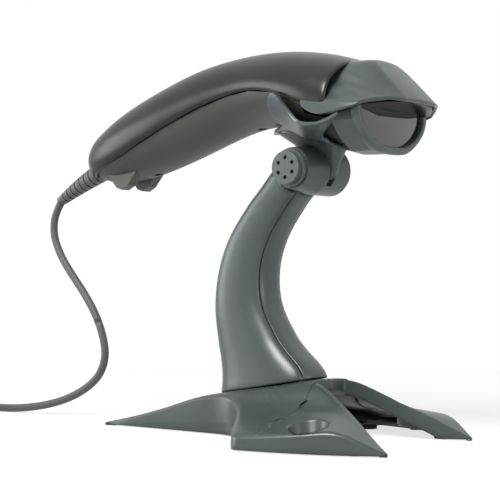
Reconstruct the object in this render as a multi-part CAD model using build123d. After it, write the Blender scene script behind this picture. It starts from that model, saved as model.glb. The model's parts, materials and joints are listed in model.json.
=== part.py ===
from build123d import *
import math
import os

# Handheld barcode scanner resting in its tilting stand.  Millimetres.  +X is the way the
# scanner points, +Y is its left, +Z is up.  The origin is on the surface under the base.
# The whole object is symmetric about the XZ plane, apart from the pivot's knob and its cord.

# ---- scanner body: stations along X of (x, lowest z, highest z, half width) ----
BODY_STATIONS = [
    (-124.5, 130.5, 148.5, 9.5),
    (-117.0, 128.2, 153.6, 14.5),
    (-100.0, 127.6, 162.8, 18.5),
    (-75.0, 132.8, 172.2, 20.5),
    (-45.0, 141.8, 180.6, 21.0),
    (-15.0, 149.6, 183.8, 22.5),
    (10.0, 148.0, 183.2, 27.0),
    (31.0, 141.5, 181.4, 30.6),
    (46.0, 137.0, 178.0, 31.6),
]
SHELL_WALL = 2.6            # wall of the two handle shells
SEAM = 0.2                  # visible gap between neighbouring covers
# line where the upper and the lower shell meet, seen from the side
SPLIT_LINE = [(-128, 130), (-95, 139.5), (-78, 146), (-58, 153.5), (-38, 160), (-20, 164), (-4, 165.3), (12, 163), (31, 156.5)]
HOOD_REAR_X = 31.0          # the hood starts here, in front of the upper shell
BELLY_FRONT_X = 46.0        # the lower shell runs on under the hood to here

# ---- hood ----
HOOD_SIDE = [(31.0, 151.5), (46.0, 148.4), (56.0, 150.9), (73.0, 153.2), (56.5, 174.8), (44.0, 178.6), (31.0, 181.4)]
HOOD_PLAN = [(31.0, 31.5), (46.0, 33.2), (60.0, 30.0), (73.0, 23.0)]
HOOD_FRONT = [(33.5, 140.0), (33.2, 155.5), (25.0, 168.0), (15.5, 176.5), (8.0, 182.0)]
HOOD_WALL = 2.2

# ---- nose housing, bezel and window ----
NOSE_HALF = [(26.4, 160.0), (26.8, 147.0), (20.0, 140.0), (10.5, 134.4), (0.0, 133.6)]
NOSE_FRONT_X = 59.8
NOSE_WALL = 1.8
BEZEL_HALF = [(28.4, 150.2), (27.4, 146.0), (20.5, 139.2), (11.0, 133.6), (0.0, 132.8)]
BEZEL_DEPTH = 3.0
WINDOW_HALF = [(24.6, 147.6), (22.6, 144.6), (15.6, 139.2), (8.4, 137.0), (0.0, 136.8)]
WINDOW_THICK = 1.5
SEAL_THICK = 0.8
SEAL_LAND = 1.2             # how far the seal and the window overlap the bezel's edge

# ---- spine inlay and scan button ----
SPINE_PLAN = [(-26.0, 0.0), (-14.0, 4.6), (4.0, 9.4), (20.0, 12.2), (30.6, 13.0)]
SPINE_THICK = 1.5
BUTTON_X = (6.0, 26.0)
BUTTON_HALF_WIDTH = 5.0
BUTTON_PROUD = 0.5
BUTTON_TRAVEL = 0.8
BUTTON_GAP = 0.3

# ---- tail: cord socket, boot and fins ----
TAIL_EXIT = (-122.6, 135.6)          # where the boot leaves the tail, in the XZ plane
TAIL_ANGLE = 24.0                    # the socket's axis drops this much towards the rear
BOOT_STATIONS = [(-122.6, 135.6, 24.0, 5.6), (-142.0, 127.6, 27.0, 4.4), (-158.7, 119.1, 0.0, 2.9)]
BOOT_SHOULDER = 6.4
FIN_CENTRE_X = -100.5
FIN_HALF_GAP = 8.0
FIN_LENGTH = 20.0
FIN_DEPTH = 9.6
FIN_WIDTH = 6.0

# ---- pivot ----
PIVOT_X = 16.7
PIVOT_Z = 127.9
BARREL_RADIUS = 12.0
BARREL_KNOB_END_RADIUS = 9.8
BARREL_NEAR_Y = -17.0
BARREL_FAR_Y = 14.0
DOME_DEPTH = 7.5
SLOT_WIDTH = 4.4
BLADE_THICK = 3.6
BLADE_RADIUS = 10.2
BLADE_POCKET_RADIUS = 10.8
SLOT_FRONT_ANGLE = -42.0             # lower front end of the slot, from +X towards +Z
SLOT_REAR_ANGLE = 142.0
BOLT_RADIUS = 2.5
RUNNING_GAP = 0.06                   # radial clearance of the pivot's running fits
KNOB_RADIUS = 7.8
KNOB_RIM_RADIUS = 9.0
KNOB_DEPTH = 5.0
KNOB_BACK_GAP = 0.3
KNOB_SKIN = 1.5
KNOB_HOLES = 6
KNOB_HOLE_RADIUS = 1.0
KNOB_HOLE_CIRCLE = 4.6
WASHER_RADIUS = 8.0
WASHER_SEAT = 0.3                    # depth of the washers' seats in the slot's cheeks
NUT_RADIUS = 4.6
NUT_THICK = 4.0
BOLT_HEAD_RADIUS = 4.4

# ---- cradle cup ----
CUP_WALL = 2.8
CUP_GAP = 0.35                       # room between the cup and the scanner it carries
CUP_SIDE = [(-8.0, 151.5), (12.3, 150.0), (12.0, 157.5), (16.0, 162.0), (20.0, 160.5), (24.0, 156.0), (29.0, 151.6),
            (32.5, 150.6), (38.0, 149.4), (46.0, 147.7), (46.8, 146.8), (43.6, 142.0), (44.5, 138.0), (43.0, 120.0),
            (-8.0, 120.0)]
CUP_UNDERSIDE = [(-10.0, 170.0), (-10.0, 146.0), (2.0, 141.4), (46.0, 130.0), (50.0, 130.0), (50.0, 170.0)]
STEM_TOP = [(4.0, 143.5), (38.0, 138.0)]
STEM_HALF_WIDTH = 7.0
PAD_THICK = 0.25

# ---- arm: levels of (z, centre x, half depth, half width) ----
ARM_LEVELS = [
    (16.0, -6.0, 27.5, 16.0),
    (28.0, -9.0, 25.4, 15.0),
    (44.0, -17.6, 19.6, 13.9),
    (62.0, -23.0, 16.2, 13.2),
    (80.0, -22.4, 14.4, 12.8),
    (96.0, -16.4, 13.8, 12.4),
    (112.0, -4.6, 13.0, 12.0),
    (128.0, 10.0, 16.0, 11.6),
]
ARM_CORNER = 8.5
ARM_WALL = 2.6
ARM_FOOT_BLOCK = 9.0                 # height of the solid foot that the base screws bite in
ARM_FOOT = [(-36.0, 18.4), (24.0, 29.0)]   # the slanted seam between the arm and the base
COVER_LINE = [(16.0, 20.0), (28.0, 12.4), (44.0, -1.6), (62.0, -10.4), (80.0, -11.6), (96.0, -6.2), (110.0, 3.4)]

# ---- base ----
BASE_PLAN = [(-98.0, 25.0), (-58.0, 22.4), (-19.0, 21.5), (-6.0, 30.0), (17.0, 60.5), (45.0, 54.5), (66.0, 46.5), (82.0, 36.0),
             (27.0, 12.0)]
BASE_REAR_NOTCH_X = -62.0
BASE_SIDE = [(-98.0, 1.6), (-64.0, 9.8), (-36.0, 18.2), (24.0, 28.8), (27.2, 25.6), (45.0, 22.0), (60.0, 13.0), (82.0, 1.6)]
BASE_FRONT = [(0.0, 30.0), (13.0, 28.0), (20.0, 19.5), (25.0, 15.0), (46.0, 11.5), (60.5, 6.0)]
BASE_WALL = 2.4
LEG_LIP = 8.0                        # depth of the wall along the front recess
ARCH = [(-70.0, -1.0), (-48.0, 4.7), (-26.0, 7.0), (-20.0, 4.5), (-17.0, -1.0)]
POCKET_CENTRE = (46.0, 44.0)
POCKET_RADIUS = 9.0
POCKET_FLOOR = 4.0
POCKET_FLOOR_THICK = 2.0
FIXING_HOLE_RADIUS = 2.25
FLOOR_GAP = 0.6                      # the shell's rim stands this far above the surface
FOOT_RADIUS = 4.5
FOOT_HEIGHT = 1.4
FOOT_GAP = 0.1
MIDDLE_FOOT_RADIUS = 3.0              # the small foot under the middle, between the arm's screws
MIDDLE_FOOT_WALL = 1.2
WEIGHT_SIZE = (38.0, 34.0, 4.0)
WEIGHT_CENTRE = (3.0, 8.0)           # X and Z of the plate's middle

# ---- cord ----
CORD_RADIUS = 2.15
COIL_CENTRE = (-224.0, -48.0)
COIL_RADIUS = 24.0
COIL_WIDTH = 17.5
COIL_HEIGHT = 13.5
CORD_ROUTE = [
    (-158.7, 0.0, 119.1), (-163.2, 0.0, 113.3), (-165.4, 0.0, 105.0), (-163.5, 0.0, 95.5), (-155.5, 0.0, 83.4),
    (-139.5, 0.0, 67.0), (-130.2, 0.0, 54.6), (-125.2, 0.0, 43.6), (-123.2, 0.0, 33.6), (-126.6, -0.6, 23.4),
    (-136.0, -2.0, 15.2), (-149.0, -5.0, 8.6), (-164.0, -10.5, 4.4), (-181.0, -17.5, 2.3), (-202.0, -23.2, 2.3),
    (-224.0, -24.0, 2.3),
]
CORD_TAIL_START = 14.0               # measured along the plug's axis from abreast of the coil's middle
CORD_TAIL = 16.0
PLUG_BOOT = (14.0, 5.2)
PLUG_BODY = (22.0, 15.4, 7.6)
PLUG_SHELL = (18.5, 12.0, 4.5)
SHELL_SHEET = 0.4

TAIL_DIRECTION = Vector(math.cos(math.radians(TAIL_ANGLE)), 0, math.sin(math.radians(TAIL_ANGLE)))
FAR = 200.0


# ---- small helpers ----
def side_prism(points, half_y=FAR):
    """A closed outline in the XZ plane, extruded both ways along Y."""
    return extrude(Plane.XZ * Polygon(*points, align=None), half_y, both=True)


def plan_prism(points, low=-FAR, high=2 * FAR):
    """A closed outline in the XY plane, extruded from low to high."""
    return extrude(Plane.XY.offset(low) * Polygon(*points, align=None), high - low, dir=(0, 0, 1))


def front_prism(points, rear_x, front_x):
    """A closed outline in the YZ plane, extruded from rear_x to front_x."""
    return forward(Plane.YZ.offset(rear_x) * Polygon(*points, align=None), front_x - rear_x)


def forward(face, length):
    """A face in a YZ plane, extruded towards +X."""
    return extrude(face, length, dir=(1, 0, 0))


def mirrored(half):
    """A closed outline from the points of its +Y half, given from side to side."""
    other = [(-y, z) for y, z in reversed(half)]
    if half[-1][0] == 0.0:
        other = other[1:]
    return [*half, *other]


def both_sides(half):
    """A closed plan outline from the points of its +Y edge."""
    other = [(x, -y) for x, y in reversed(half) if y > 0]
    return [*half, *other]


def moved(points, dx=0.0, dz=0.0):
    """The same outline, moved."""
    return [(a + dx, b + dz) for a, b in points]


def rod(start, direction, radius, length):
    """A cylinder from a point along a direction."""
    return extrude(Plane(origin=start, z_dir=direction) * Circle(radius), length)


def block(centre, size, tilt=0.0):
    """A box about its centre, tilted nose up by an angle in degrees."""
    return Pos(*centre) * Rot(0, -tilt, 0) * Box(*size)


def body_blank(inset=0.0, stations=BODY_STATIONS):
    """The scanner body's smooth outer form, with every section drawn in by inset."""
    sections = []
    for x, low, high, half in stations:
        ring = Ellipse(half - inset, (high - low) / 2 - inset)
        sections.append(Plane.YZ.offset(x) * Pos(0, (low + high) / 2) * ring)
    return loft(sections)


def split_outline(gap):
    """Side outline of the space above the split line, raised by gap."""
    rise = [(x, z + gap) for x, z in SPLIT_LINE]
    return [*rise, (HOOD_REAR_X, 300.0), (SPLIT_LINE[0][0], 300.0)]


def only(shape):
    """The largest solid of a cut, without the crumbs that it leaves."""
    return max(shape.solids(), key=lambda s: s.volume)


# ---- scanner: the two handle shells ----
def shell_tube():
    """The hollow handle, before it is parted."""
    inner_stations = [(BODY_STATIONS[0][0] + SHELL_WALL, *BODY_STATIONS[0][1:]), *BODY_STATIONS[1:-1]]
    x, low, high, half = BODY_STATIONS[-1]
    inner_stations.append((x + 1.0, low, high, half))
    return body_blank() - body_blank(SHELL_WALL, inner_stations)


def tail_bore(clearance):
    """The round opening in the tail that the boot's shoulder sits in."""
    start = Vector(TAIL_EXIT[0], 0, TAIL_EXIT[1]) - TAIL_DIRECTION * 8
    return rod(start, TAIL_DIRECTION, BOOT_SHOULDER + clearance, 22)


def make_upper_shell():
    """Black top cover of the handle, with the recess for the spine inlay and a hole for the button."""
    shell = shell_tube() & side_prism(split_outline(SEAM / 2))
    shell = shell - tail_bore(SEAM)
    recess = spine_prism(SEAM) - body_blank(SPINE_THICK + SEAM / 2)
    shell = shell - recess - button_prism(BUTTON_GAP + SEAM)
    return only(shell)


def make_lower_shell():
    """Bottom cover of the handle, which runs on under the hood, with posts for the boards inside."""
    below = [*moved(SPLIT_LINE, dz=-SEAM / 2)]
    below += [(HOOD_REAR_X, HOOD_SIDE[0][1] - SEAM), (BELLY_FRONT_X, HOOD_SIDE[1][1] - SEAM), (BELLY_FRONT_X, 90.0)]
    below += [(SPLIT_LINE[0][0], 90.0)]
    shell = shell_tube() & side_prism(below)
    inside = body_blank(SHELL_WALL / 2)
    for post in board_posts() + deck_posts():
        shell = shell + (post & inside)
    shell = shell + (socket_saddle() & inside & side_prism(below))
    shell = shell - tail_bore(SEAM)
    for hole in deck_post_holes():
        shell = shell - hole
    for x, y in shell_screw_places():
        shell = shell - Pos(x, y, 100) * Cylinder(SCREW_HEAD_RADIUS + SEAM, 200)
    return only(shell)


# ---- scanner: spine inlay and scan button ----
def spine_prism(grow):
    """Plan of the inlay on top of the handle, grown by a gap."""
    half = [(x + (grow if i else -grow), y + grow if y else 0.0) for i, (x, y) in enumerate(SPINE_PLAN)]
    half[-1] = (HOOD_REAR_X + 5.0, half[-1][1])
    return plan_prism(both_sides(half), low=170.0)


def button_prism(grow):
    """Plan of the scan button, a slot-shaped pad, grown by a gap."""
    length = BUTTON_X[1] - BUTTON_X[0]
    pad = SlotOverall(length + 2 * grow, 2 * (BUTTON_HALF_WIDTH + grow))
    return extrude(Plane.XY.offset(168.0) * Pos(sum(BUTTON_X) / 2, 0) * pad, 30)


def make_top_spine():
    """Grey inlay, flush with the handle, from a point at the rear to the hood."""
    inlay = (body_blank() & spine_prism(0.0)) - body_blank(SPINE_THICK)
    inlay = inlay & side_prism([(-60, 150), (HOOD_REAR_X, 150), (HOOD_REAR_X, 200), (-60, 200)])
    return only(inlay - button_prism(BUTTON_GAP) - light_pipe_prism(LIGHT_PIPE_GAP))


def make_scan_button():
    """Pad that stands a little proud of the inlay, on a short stem over its switch."""
    pad = (body_blank(-BUTTON_PROUD) & button_prism(0.0)) - body_blank(SPINE_THICK - BUTTON_GAP)
    centre = sum(BUTTON_X) / 2
    stem = Pos(centre, 0, SWITCH_TOP + BUTTON_TRAVEL + 0.1) * extrude(Circle(2.0), 12)
    return only(pad + (stem & body_blank(SPINE_THICK / 2)))


SWITCH_TOP = 171.6
SWITCH_SIZE = (6.2, 6.2, 3.5)
BUTTON_BOARD = (22.0, 14.0, 1.0)
CARRIER_GAP = 0.15


def make_button_board():
    """Small board under the scan button."""
    centre = sum(BUTTON_X) / 2
    z = SWITCH_TOP - 0.8 - SWITCH_SIZE[2] - BUTTON_BOARD[2] / 2
    return Pos(centre, 0, z) * Box(*BUTTON_BOARD)


def make_button_switch():
    """Push switch with a round plunger."""
    centre = sum(BUTTON_X) / 2
    body = Pos(centre, 0, SWITCH_TOP - 0.8 - SWITCH_SIZE[2] / 2) * Box(*SWITCH_SIZE)
    return body + Pos(centre, 0, SWITCH_TOP - 0.4) * Cylinder(1.7, 0.8)


def make_button_carrier():
    """Bracket that hangs the button's board from the hood end of the upper shell."""
    centre = sum(BUTTON_X) / 2
    low = SWITCH_TOP - 0.8 - SWITCH_SIZE[2] - BUTTON_BOARD[2]
    rails = []
    for side in (-1, 1):
        rail = Pos(centre, side * (BUTTON_BOARD[1] / 2 + 1.2), low + 20) * Box(BUTTON_BOARD[0] - 4, 2.0, 40)
        ledge = Pos(centre, side * (BUTTON_BOARD[1] / 2 - 0.2), low - 0.8) * Box(BUTTON_BOARD[0] - 4, 4.8, 1.6)
        rails.append((rail + ledge) & body_blank(SHELL_WALL + CARRIER_GAP))
    bridge = Pos(centre - 6, 0, low - 0.8) * Box(4.0, BUTTON_BOARD[1] + 1.0, 1.6)
    return only(rails[0] + rails[1] + bridge)


# ---- scanner: hood, nose, bezel and window ----
def hood_blank():
    """The hood's faceted form, from its side, plan and front outlines."""
    plan = plan_prism(both_sides(HOOD_PLAN))
    front = front_prism(mirrored(HOOD_FRONT), HOOD_REAR_X - 1, HOOD_PLAN[-1][0] + 5)
    return only(side_prism(HOOD_SIDE) & plan & front)


def make_head_hood():
    """Grey visor over the nose: a faceted shell, open to the rear and below."""
    blank = hood_blank()
    lowered = [(x, z - HOOD_WALL) for x, z in HOOD_SIDE[3:]]
    lowered[0] = (HOOD_SIDE[3][0] - 2.6 * HOOD_WALL, HOOD_SIDE[3][1])
    lowered[1] = (HOOD_SIDE[4][0] - 1.0, HOOD_SIDE[4][1] - HOOD_WALL * 1.4)
    side = side_prism([(HOOD_REAR_X - 2, 120.0), (lowered[0][0], 120.0), *lowered[:-1],
                       (HOOD_REAR_X - 2, lowered[-1][1])])
    plan_half = [(x if i else x - 2, y - HOOD_WALL) for i, (x, y) in enumerate(HOOD_PLAN)]
    plan = plan_prism(both_sides(plan_half))
    front_half = [(y - HOOD_WALL * 0.8, z - HOOD_WALL * 0.8) for y, z in HOOD_FRONT]
    front_half[0] = (HOOD_FRONT[0][0] - HOOD_WALL, 100.0)
    front = front_prism(mirrored(front_half), HOOD_REAR_X - 3, HOOD_PLAN[-1][0] + 5)
    return only(blank - (side & plan & front))


def nose_outline(inset=0.0):
    """Front outline of the nose, drawn in by a wall."""
    face = Polygon(*mirrored(NOSE_HALF), align=None)
    return face if inset == 0 else offset(face, -inset, kind=Kind.INTERSECTION)


def make_nose_housing():
    """Grey box under the hood that carries the bezel, open at the rear and the front."""
    length = NOSE_FRONT_X - BELLY_FRONT_X - SEAM
    start = Plane.YZ.offset(BELLY_FRONT_X + SEAM)
    outer = forward(start * nose_outline(), length)
    inner = forward(start.offset(-1) * nose_outline(NOSE_WALL), length + 2)
    under_hood = side_prism([(40, 120), (80, 120), (80, HOOD_SIDE[3][1] - 3.0), (62.0, 158.0), (40.0, 168.0)])
    return only((outer - inner) & under_hood)


def window_outline(grow=0.0):
    """Front outline of the clear opening, grown by a land."""
    face = Polygon(*mirrored(WINDOW_HALF), align=None)
    return face if grow == 0 else offset(face, grow, kind=Kind.INTERSECTION)


def make_window_bezel():
    """Frame round the window, seated on the nose's front edge."""
    start = Plane.YZ.offset(NOSE_FRONT_X)
    frame = forward(start * Polygon(*mirrored(BEZEL_HALF), align=None), BEZEL_DEPTH)
    rebate = forward(start * window_outline(SEAL_LAND + 0.1), WINDOW_THICK + SEAL_THICK)
    return only(frame - rebate - forward(start.offset(-1) * window_outline(), BEZEL_DEPTH + 2))


def make_window_seal():
    """Flat gasket in the bezel's rebate, in front of the window."""
    start = Plane.YZ.offset(NOSE_FRONT_X + WINDOW_THICK)
    return forward(start * (window_outline(SEAL_LAND) - window_outline()), SEAL_THICK)


def make_scan_window():
    """Clear window plate behind the seal."""
    return forward(Plane.YZ.offset(NOSE_FRONT_X) * window_outline(SEAL_LAND), WINDOW_THICK)


# ---- scanner: inside ----
BOARD_CENTRE = (-57.0, 157.2)
BOARD_TILT = 16.0
BOARD_SIZE = (74.0, 25.0, 1.6)
BOARD_POST_RADIUS = 2.6
DECK_Z = 154.0
DECK = (14.0, 44.0, 34.0, 2.0)      # rear x, front x, width, thickness
DECK_POST_RADIUS = 2.4
DECK_SCREW_BITE = 3.0
SCREW_RADIUS = 1.2
SCREW_HEAD_RADIUS = 2.2


def board_point(along, across, above):
    """A point of the main board, measured along, across and above its middle."""
    slope = math.radians(BOARD_TILT)
    x = BOARD_CENTRE[0] + along * math.cos(slope) - above * math.sin(slope)
    z = BOARD_CENTRE[1] + along * math.sin(slope) + above * math.cos(slope)
    return Vector(x, across, z)


def board_corners():
    """The main board's four fixing places."""
    reach = BOARD_SIZE[0] / 2 - 5
    side = BOARD_SIZE[1] / 2 - 3.2
    return [(a * reach, b * side) for a in (-1, 1) for b in (-1, 1)]


def board_posts():
    """Posts from the lower shell up to the main board, each with a screw hole."""
    normal = board_point(0, 0, 1) - board_point(0, 0, 0)
    posts = []
    for along, across in board_corners():
        top = board_point(along, across, -BOARD_SIZE[2] / 2)
        post = rod(top, -normal, BOARD_POST_RADIUS, 30)
        posts.append(post - rod(top, -normal, SCREW_RADIUS + 0.05, 7))
    return posts


def make_main_board():
    """The decoder board, screwed to its four posts, with its chips."""
    board = block((BOARD_CENTRE[0], 0, BOARD_CENTRE[1]), BOARD_SIZE, BOARD_TILT)
    normal = board_point(0, 0, 1) - board_point(0, 0, 0)
    for along, across in board_corners():
        board = board - rod(board_point(along, across, -3), normal, SCREW_RADIUS + 0.1, 6)
    for along, across, size in ((-8, 0, (14, 14, 1.8)), (14, 3, (9, 7, 1.4)), (-24, -4, (6, 8, 2.2))):
        place = board_point(along, across, BOARD_SIZE[2] / 2 + size[2] / 2)
        board = board + block((place.X, place.Y, place.Z), size, BOARD_TILT)
    return only(board)


def make_board_screws():
    """Four screws that hold the main board."""
    normal = board_point(0, 0, 1) - board_point(0, 0, 0)
    screws = []
    for along, across in board_corners():
        seat = board_point(along, across, BOARD_SIZE[2] / 2)
        screws.append(rod(seat, normal, SCREW_HEAD_RADIUS, 1.4) + rod(seat, -normal, SCREW_RADIUS, 6))
    return screws


def deck_places():
    """The optics deck's four fixing places."""
    rear, front, width, _ = DECK
    return [(x, y) for x in (rear + 4, front - 4) for y in (3.5 - width / 2, width / 2 - 3.5)]


def deck_posts():
    """Posts from the belly up to the optics deck."""
    low = DECK_Z - DECK[3] / 2
    return [Pos(x, y, low - 15) * Cylinder(DECK_POST_RADIUS, 30) for x, y in deck_places()]


def deck_post_holes():
    """Blind holes for the deck's screws, down from the posts' tops."""
    low = DECK_Z - DECK[3] / 2
    return [Pos(x, y, low - DECK_SCREW_BITE / 2) * Cylinder(SCREW_RADIUS + 0.05, DECK_SCREW_BITE + 0.4) for x, y in deck_places()]


def make_optics_deck():
    """Plate that carries the laser, the mirrors and the sensor, with the mirror's pin."""
    rear, front, width, thick = DECK
    deck = Pos((rear + front) / 2, 0, DECK_Z) * Box(front - rear, width, thick)
    for x, y in deck_places():
        deck = deck - Pos(x, y, DECK_Z) * Cylinder(SCREW_RADIUS + 0.1, thick + 2)
    top = DECK_Z + thick / 2
    pin = Pos(MIRROR_PLACE[0], MIRROR_PLACE[1], top + MIRROR_PIN_TALL / 2) * Cylinder(MIRROR_PIN, MIRROR_PIN_TALL)
    return only(deck + pin)


def make_deck_screws():
    """Four screws that hold the optics deck."""
    screws = []
    for x, y in deck_places():
        seat = DECK_Z + DECK[3] / 2
        length = DECK[3] + DECK_SCREW_BITE
        head = Pos(x, y, seat + 0.6) * Cylinder(SCREW_HEAD_RADIUS, 1.2)
        screws.append(head + Pos(x, y, seat - length / 2) * Cylinder(SCREW_RADIUS, length))
    return screws


MIRROR_PLACE = (36.0, -4.0)
MIRROR_PIN = 1.0
MIRROR_PIN_TALL = 9.0
MIRROR_SIZE = (1.2, 10.0, 8.0)
MIRROR_SWING = 10.0


def make_scan_mirror():
    """Small mirror that swings on the deck's pin, with a magnet arm behind it."""
    base = DECK_Z + DECK[3] / 2 + 0.3
    x, y = MIRROR_PLACE
    hub = Pos(x, y, base + MIRROR_SIZE[2] / 2) * Cylinder(2.0, MIRROR_SIZE[2])
    plate = Pos(x + 2.2, y, base + MIRROR_SIZE[2] / 2) * Box(*MIRROR_SIZE)
    arm = Pos(x - 3.2, y, base + 2.0) * Box(4.0, 2.0, 3.0)
    swing = hub + plate + arm
    return only(swing - Pos(x, y, base + MIRROR_SIZE[2] / 2) * Cylinder(MIRROR_PIN + RUNNING_GAP, MIRROR_SIZE[2] + 2))


def make_mirror_drive():
    """Coil block that rocks the mirror's magnet arm."""
    base = DECK_Z + DECK[3] / 2
    x, y = MIRROR_PLACE
    core = Pos(x - 9.5, y, base + 3.5) * Box(6.0, 9.0, 7.0)
    return only(core - Pos(x - 9.5, y, base + 5.5) * Box(2.0, 10.0, 4.0))


def make_laser_module():
    """Laser barrel in its clamp block."""
    base = DECK_Z + DECK[3] / 2
    clamp = Pos(24.0, 6.5, base + 4.0) * Box(9.0, 8.6, 8.0)
    barrel = Plane.YZ.offset(17.0) * Pos(6.5, base + 4.2) * Circle(3.0)
    return only(clamp + extrude(barrel, 16.0))


def make_collecting_mirror():
    """Tall curved mirror that gathers the light that comes back."""
    base = DECK_Z + DECK[3] / 2
    plate = Pos(16.6, -4.4, base + 4.2) * Box(3.0, 13.0, 8.4)
    dish = Pos(16.6 + 21.0, -4.4, base + 4.2) * Sphere(20.6)
    return only(plate - dish)


def make_light_sensor():
    """Sensor block at the deck's front."""
    base = DECK_Z + DECK[3] / 2
    return Pos(40.0, 6.2, base + 3.0) * Box(4.0, 8.0, 6.0)


def socket_saddle():
    """Seat for the cord's socket, part of the lower shell."""
    centre = Vector(TAIL_EXIT[0], 0, TAIL_EXIT[1]) + TAIL_DIRECTION * 20
    down = Vector(TAIL_DIRECTION.Z, 0, -TAIL_DIRECTION.X)
    low = centre + down * (SOCKET_SIZE[2] / 2 + 6)
    return block((low.X, 0, low.Z), (SOCKET_SIZE[0] - 3, SOCKET_SIZE[1] - 3, 12), TAIL_ANGLE)


SOCKET_SIZE = (13.0, 13.6, 10.0)
PLUG_SECTION = (9.6, 6.6)
PLUG_LENGTH = 13.0


def make_cable_socket():
    """Jack that takes the cord's modular plug."""
    centre = Vector(TAIL_EXIT[0], 0, TAIL_EXIT[1]) + TAIL_DIRECTION * 20
    body = block((centre.X, 0, centre.Z), SOCKET_SIZE, TAIL_ANGLE)
    mouth = centre - TAIL_DIRECTION * (SOCKET_SIZE[0] / 2 - 4.5)
    hole = block((mouth.X, 0, mouth.Z), (10.0, PLUG_SECTION[0] + 0.4, PLUG_SECTION[1] + 0.4), TAIL_ANGLE)
    return only(body - hole)


def make_modular_plug():
    """Clear plug on the cord's scanner end, latched in the jack."""
    middle = Vector(TAIL_EXIT[0], 0, TAIL_EXIT[1]) + TAIL_DIRECTION * (20 - SOCKET_SIZE[0] / 2 + 2.5)
    return block((middle.X, 0, middle.Z), (PLUG_LENGTH - 2, *PLUG_SECTION), TAIL_ANGLE)


def shell_screw_places():
    """Plan places of the screws that close the handle, along its middle."""
    return [(-84.0, 0.0), (-14.0, 0.0)]


def make_shell_screws():
    """Screws sunk in the lower shell."""
    screws = []
    for x, y in shell_screw_places():
        low = 129.5 if x < -50 else 150.0
        head = Pos(x, y, low + 4.0) * Cylinder(SCREW_HEAD_RADIUS, 1.6)
        screws.append(head + Pos(x, y, low + 8.0) * Cylinder(SCREW_RADIUS, 8.0))
    return screws


def make_tail_fins():
    """Two soft fins under the tail, which keep the scanner level when it lies on a counter."""
    fins = []
    x = FIN_CENTRE_X
    half = FIN_LENGTH / 2
    for side in (-1, 1):
        outline = [(x - half, 140.0), (x + half, 140.0), (x + half, 131.8), (x + 4.0, 125.0), (x - 0.5, 132.4 - FIN_DEPTH),
                   (x - 4.0, 124.0), (x - half, 131.0)]
        fin = Pos(0, side * FIN_HALF_GAP, 0) * side_prism(outline, FIN_WIDTH / 2)
        fins.append(only(fin - body_blank(-0.05)))
    return [min(only_below(f), key=lambda s: s.center().Z) for f in fins]


def only_below(shape):
    """The solids of a cut."""
    return shape.solids()


LIGHT_PIPE = (27.4, 29.4, 3.0)      # rear x, front x, half width
LIGHT_PIPE_GAP = 0.05


def light_pipe_prism(grow):
    """Plan of the status light, grown by a gap."""
    rear, front, half = LIGHT_PIPE
    return plan_prism(both_sides([(rear - grow, half + grow), (front + grow, half + grow)]), low=170.0)


def make_light_pipe():
    """Clear status light let into the spine's front end."""
    return only((body_blank() & light_pipe_prism(0.0)) - body_blank(SPINE_THICK))


# ---- cradle: cup, pads and magnet ----
def cup_belly(grow):
    """The form of the scanner's underside that the cup follows, grown by a gap or a wall."""
    return body_blank(-grow)


def make_cradle_cup():
    """Saddle with two wings that holds the scanner's neck, on a flat blade that the pivot grips."""
    trough = cup_belly(CUP_GAP + CUP_WALL) - cup_belly(CUP_GAP)
    trough = trough & side_prism(CUP_SIDE) & side_prism(CUP_UNDERSIDE)
    stem = stem_blank() - cup_belly(CUP_GAP + 0.4)
    blade = blade_disc(BLADE_RADIUS, BLADE_THICK)
    neck = blade_neck(BLADE_THICK)
    cup = trough + stem + blade + neck
    cup = cup - barrel_bolt_bore(BOLT_RADIUS + RUNNING_GAP)
    for x, y in magnet_places():
        cup = cup - Pos(x, y, 0) * Cylinder(MAGNET_RADIUS + 0.05, 2 * MAGNET_Z)
    return only(cup)


def stem_blank():
    """Short tapered stem between the cup and the barrel, clear of the barrel all round."""
    top = [(PIVOT_X - 12.0, 144.0), (PIVOT_X + 22.0, 144.0), (PIVOT_X + 14.0, 136.0), (PIVOT_X + 10.0, 128.0), (PIVOT_X - 6.0, 128.0)]
    wide = side_prism(top, STEM_HALF_WIDTH)
    clear = Plane.XZ * Pos(PIVOT_X, PIVOT_Z) * Circle(BARREL_RADIUS + 0.7)
    return wide - extrude(clear, 40, both=True)


def blade_disc(radius, thick):
    """Round blade about the pivot."""
    return extrude(Plane.XZ * Pos(PIVOT_X, PIVOT_Z) * Circle(radius), thick / 2, both=True)


def sector(first, last, radius):
    """Wedge outline about the pivot between two angles, from +X towards +Z."""
    steps = 8
    points = [(PIVOT_X, PIVOT_Z)]
    for i in range(steps + 1):
        angle = math.radians(first + (last - first) * i / steps)
        points.append((PIVOT_X + radius * math.cos(angle), PIVOT_Z + radius * math.sin(angle)))
    return points


NECK_FRONT_ANGLE = 30.0
NECK_REAR_ANGLE = 115.0
STOP_MARGIN = 2.0
TILT_DOWN = 60.0
TILT_UP = 15.0


def blade_neck(thick):
    """The part of the blade that passes out through the barrel's slot."""
    wedge = side_prism(sector(NECK_FRONT_ANGLE, NECK_REAR_ANGLE, BARREL_RADIUS + 6.0), thick / 2)
    return wedge - cup_belly(CUP_GAP + 0.4)


def barrel_bolt_bore(radius):
    """Bore for the bolt along the pivot's axis."""
    return extrude(Plane.XZ * Pos(PIVOT_X, PIVOT_Z) * Circle(radius), 60, both=True)


MAGNET_RADIUS = 3.0
MAGNET_THICK = 2.0
MAGNET_Z = 139.4


def magnet_places():
    """Where the cup holds its sensing magnet."""
    return [(PIVOT_X + 17.0, 0.0)]


def make_cradle_magnet():
    """Small magnet pressed in the cup's stem, which tells the scanner that it is in its stand."""
    x, y = magnet_places()[0]
    return Pos(x, y, MAGNET_Z - MAGNET_THICK / 2) * Cylinder(MAGNET_RADIUS, MAGNET_THICK)


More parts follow.
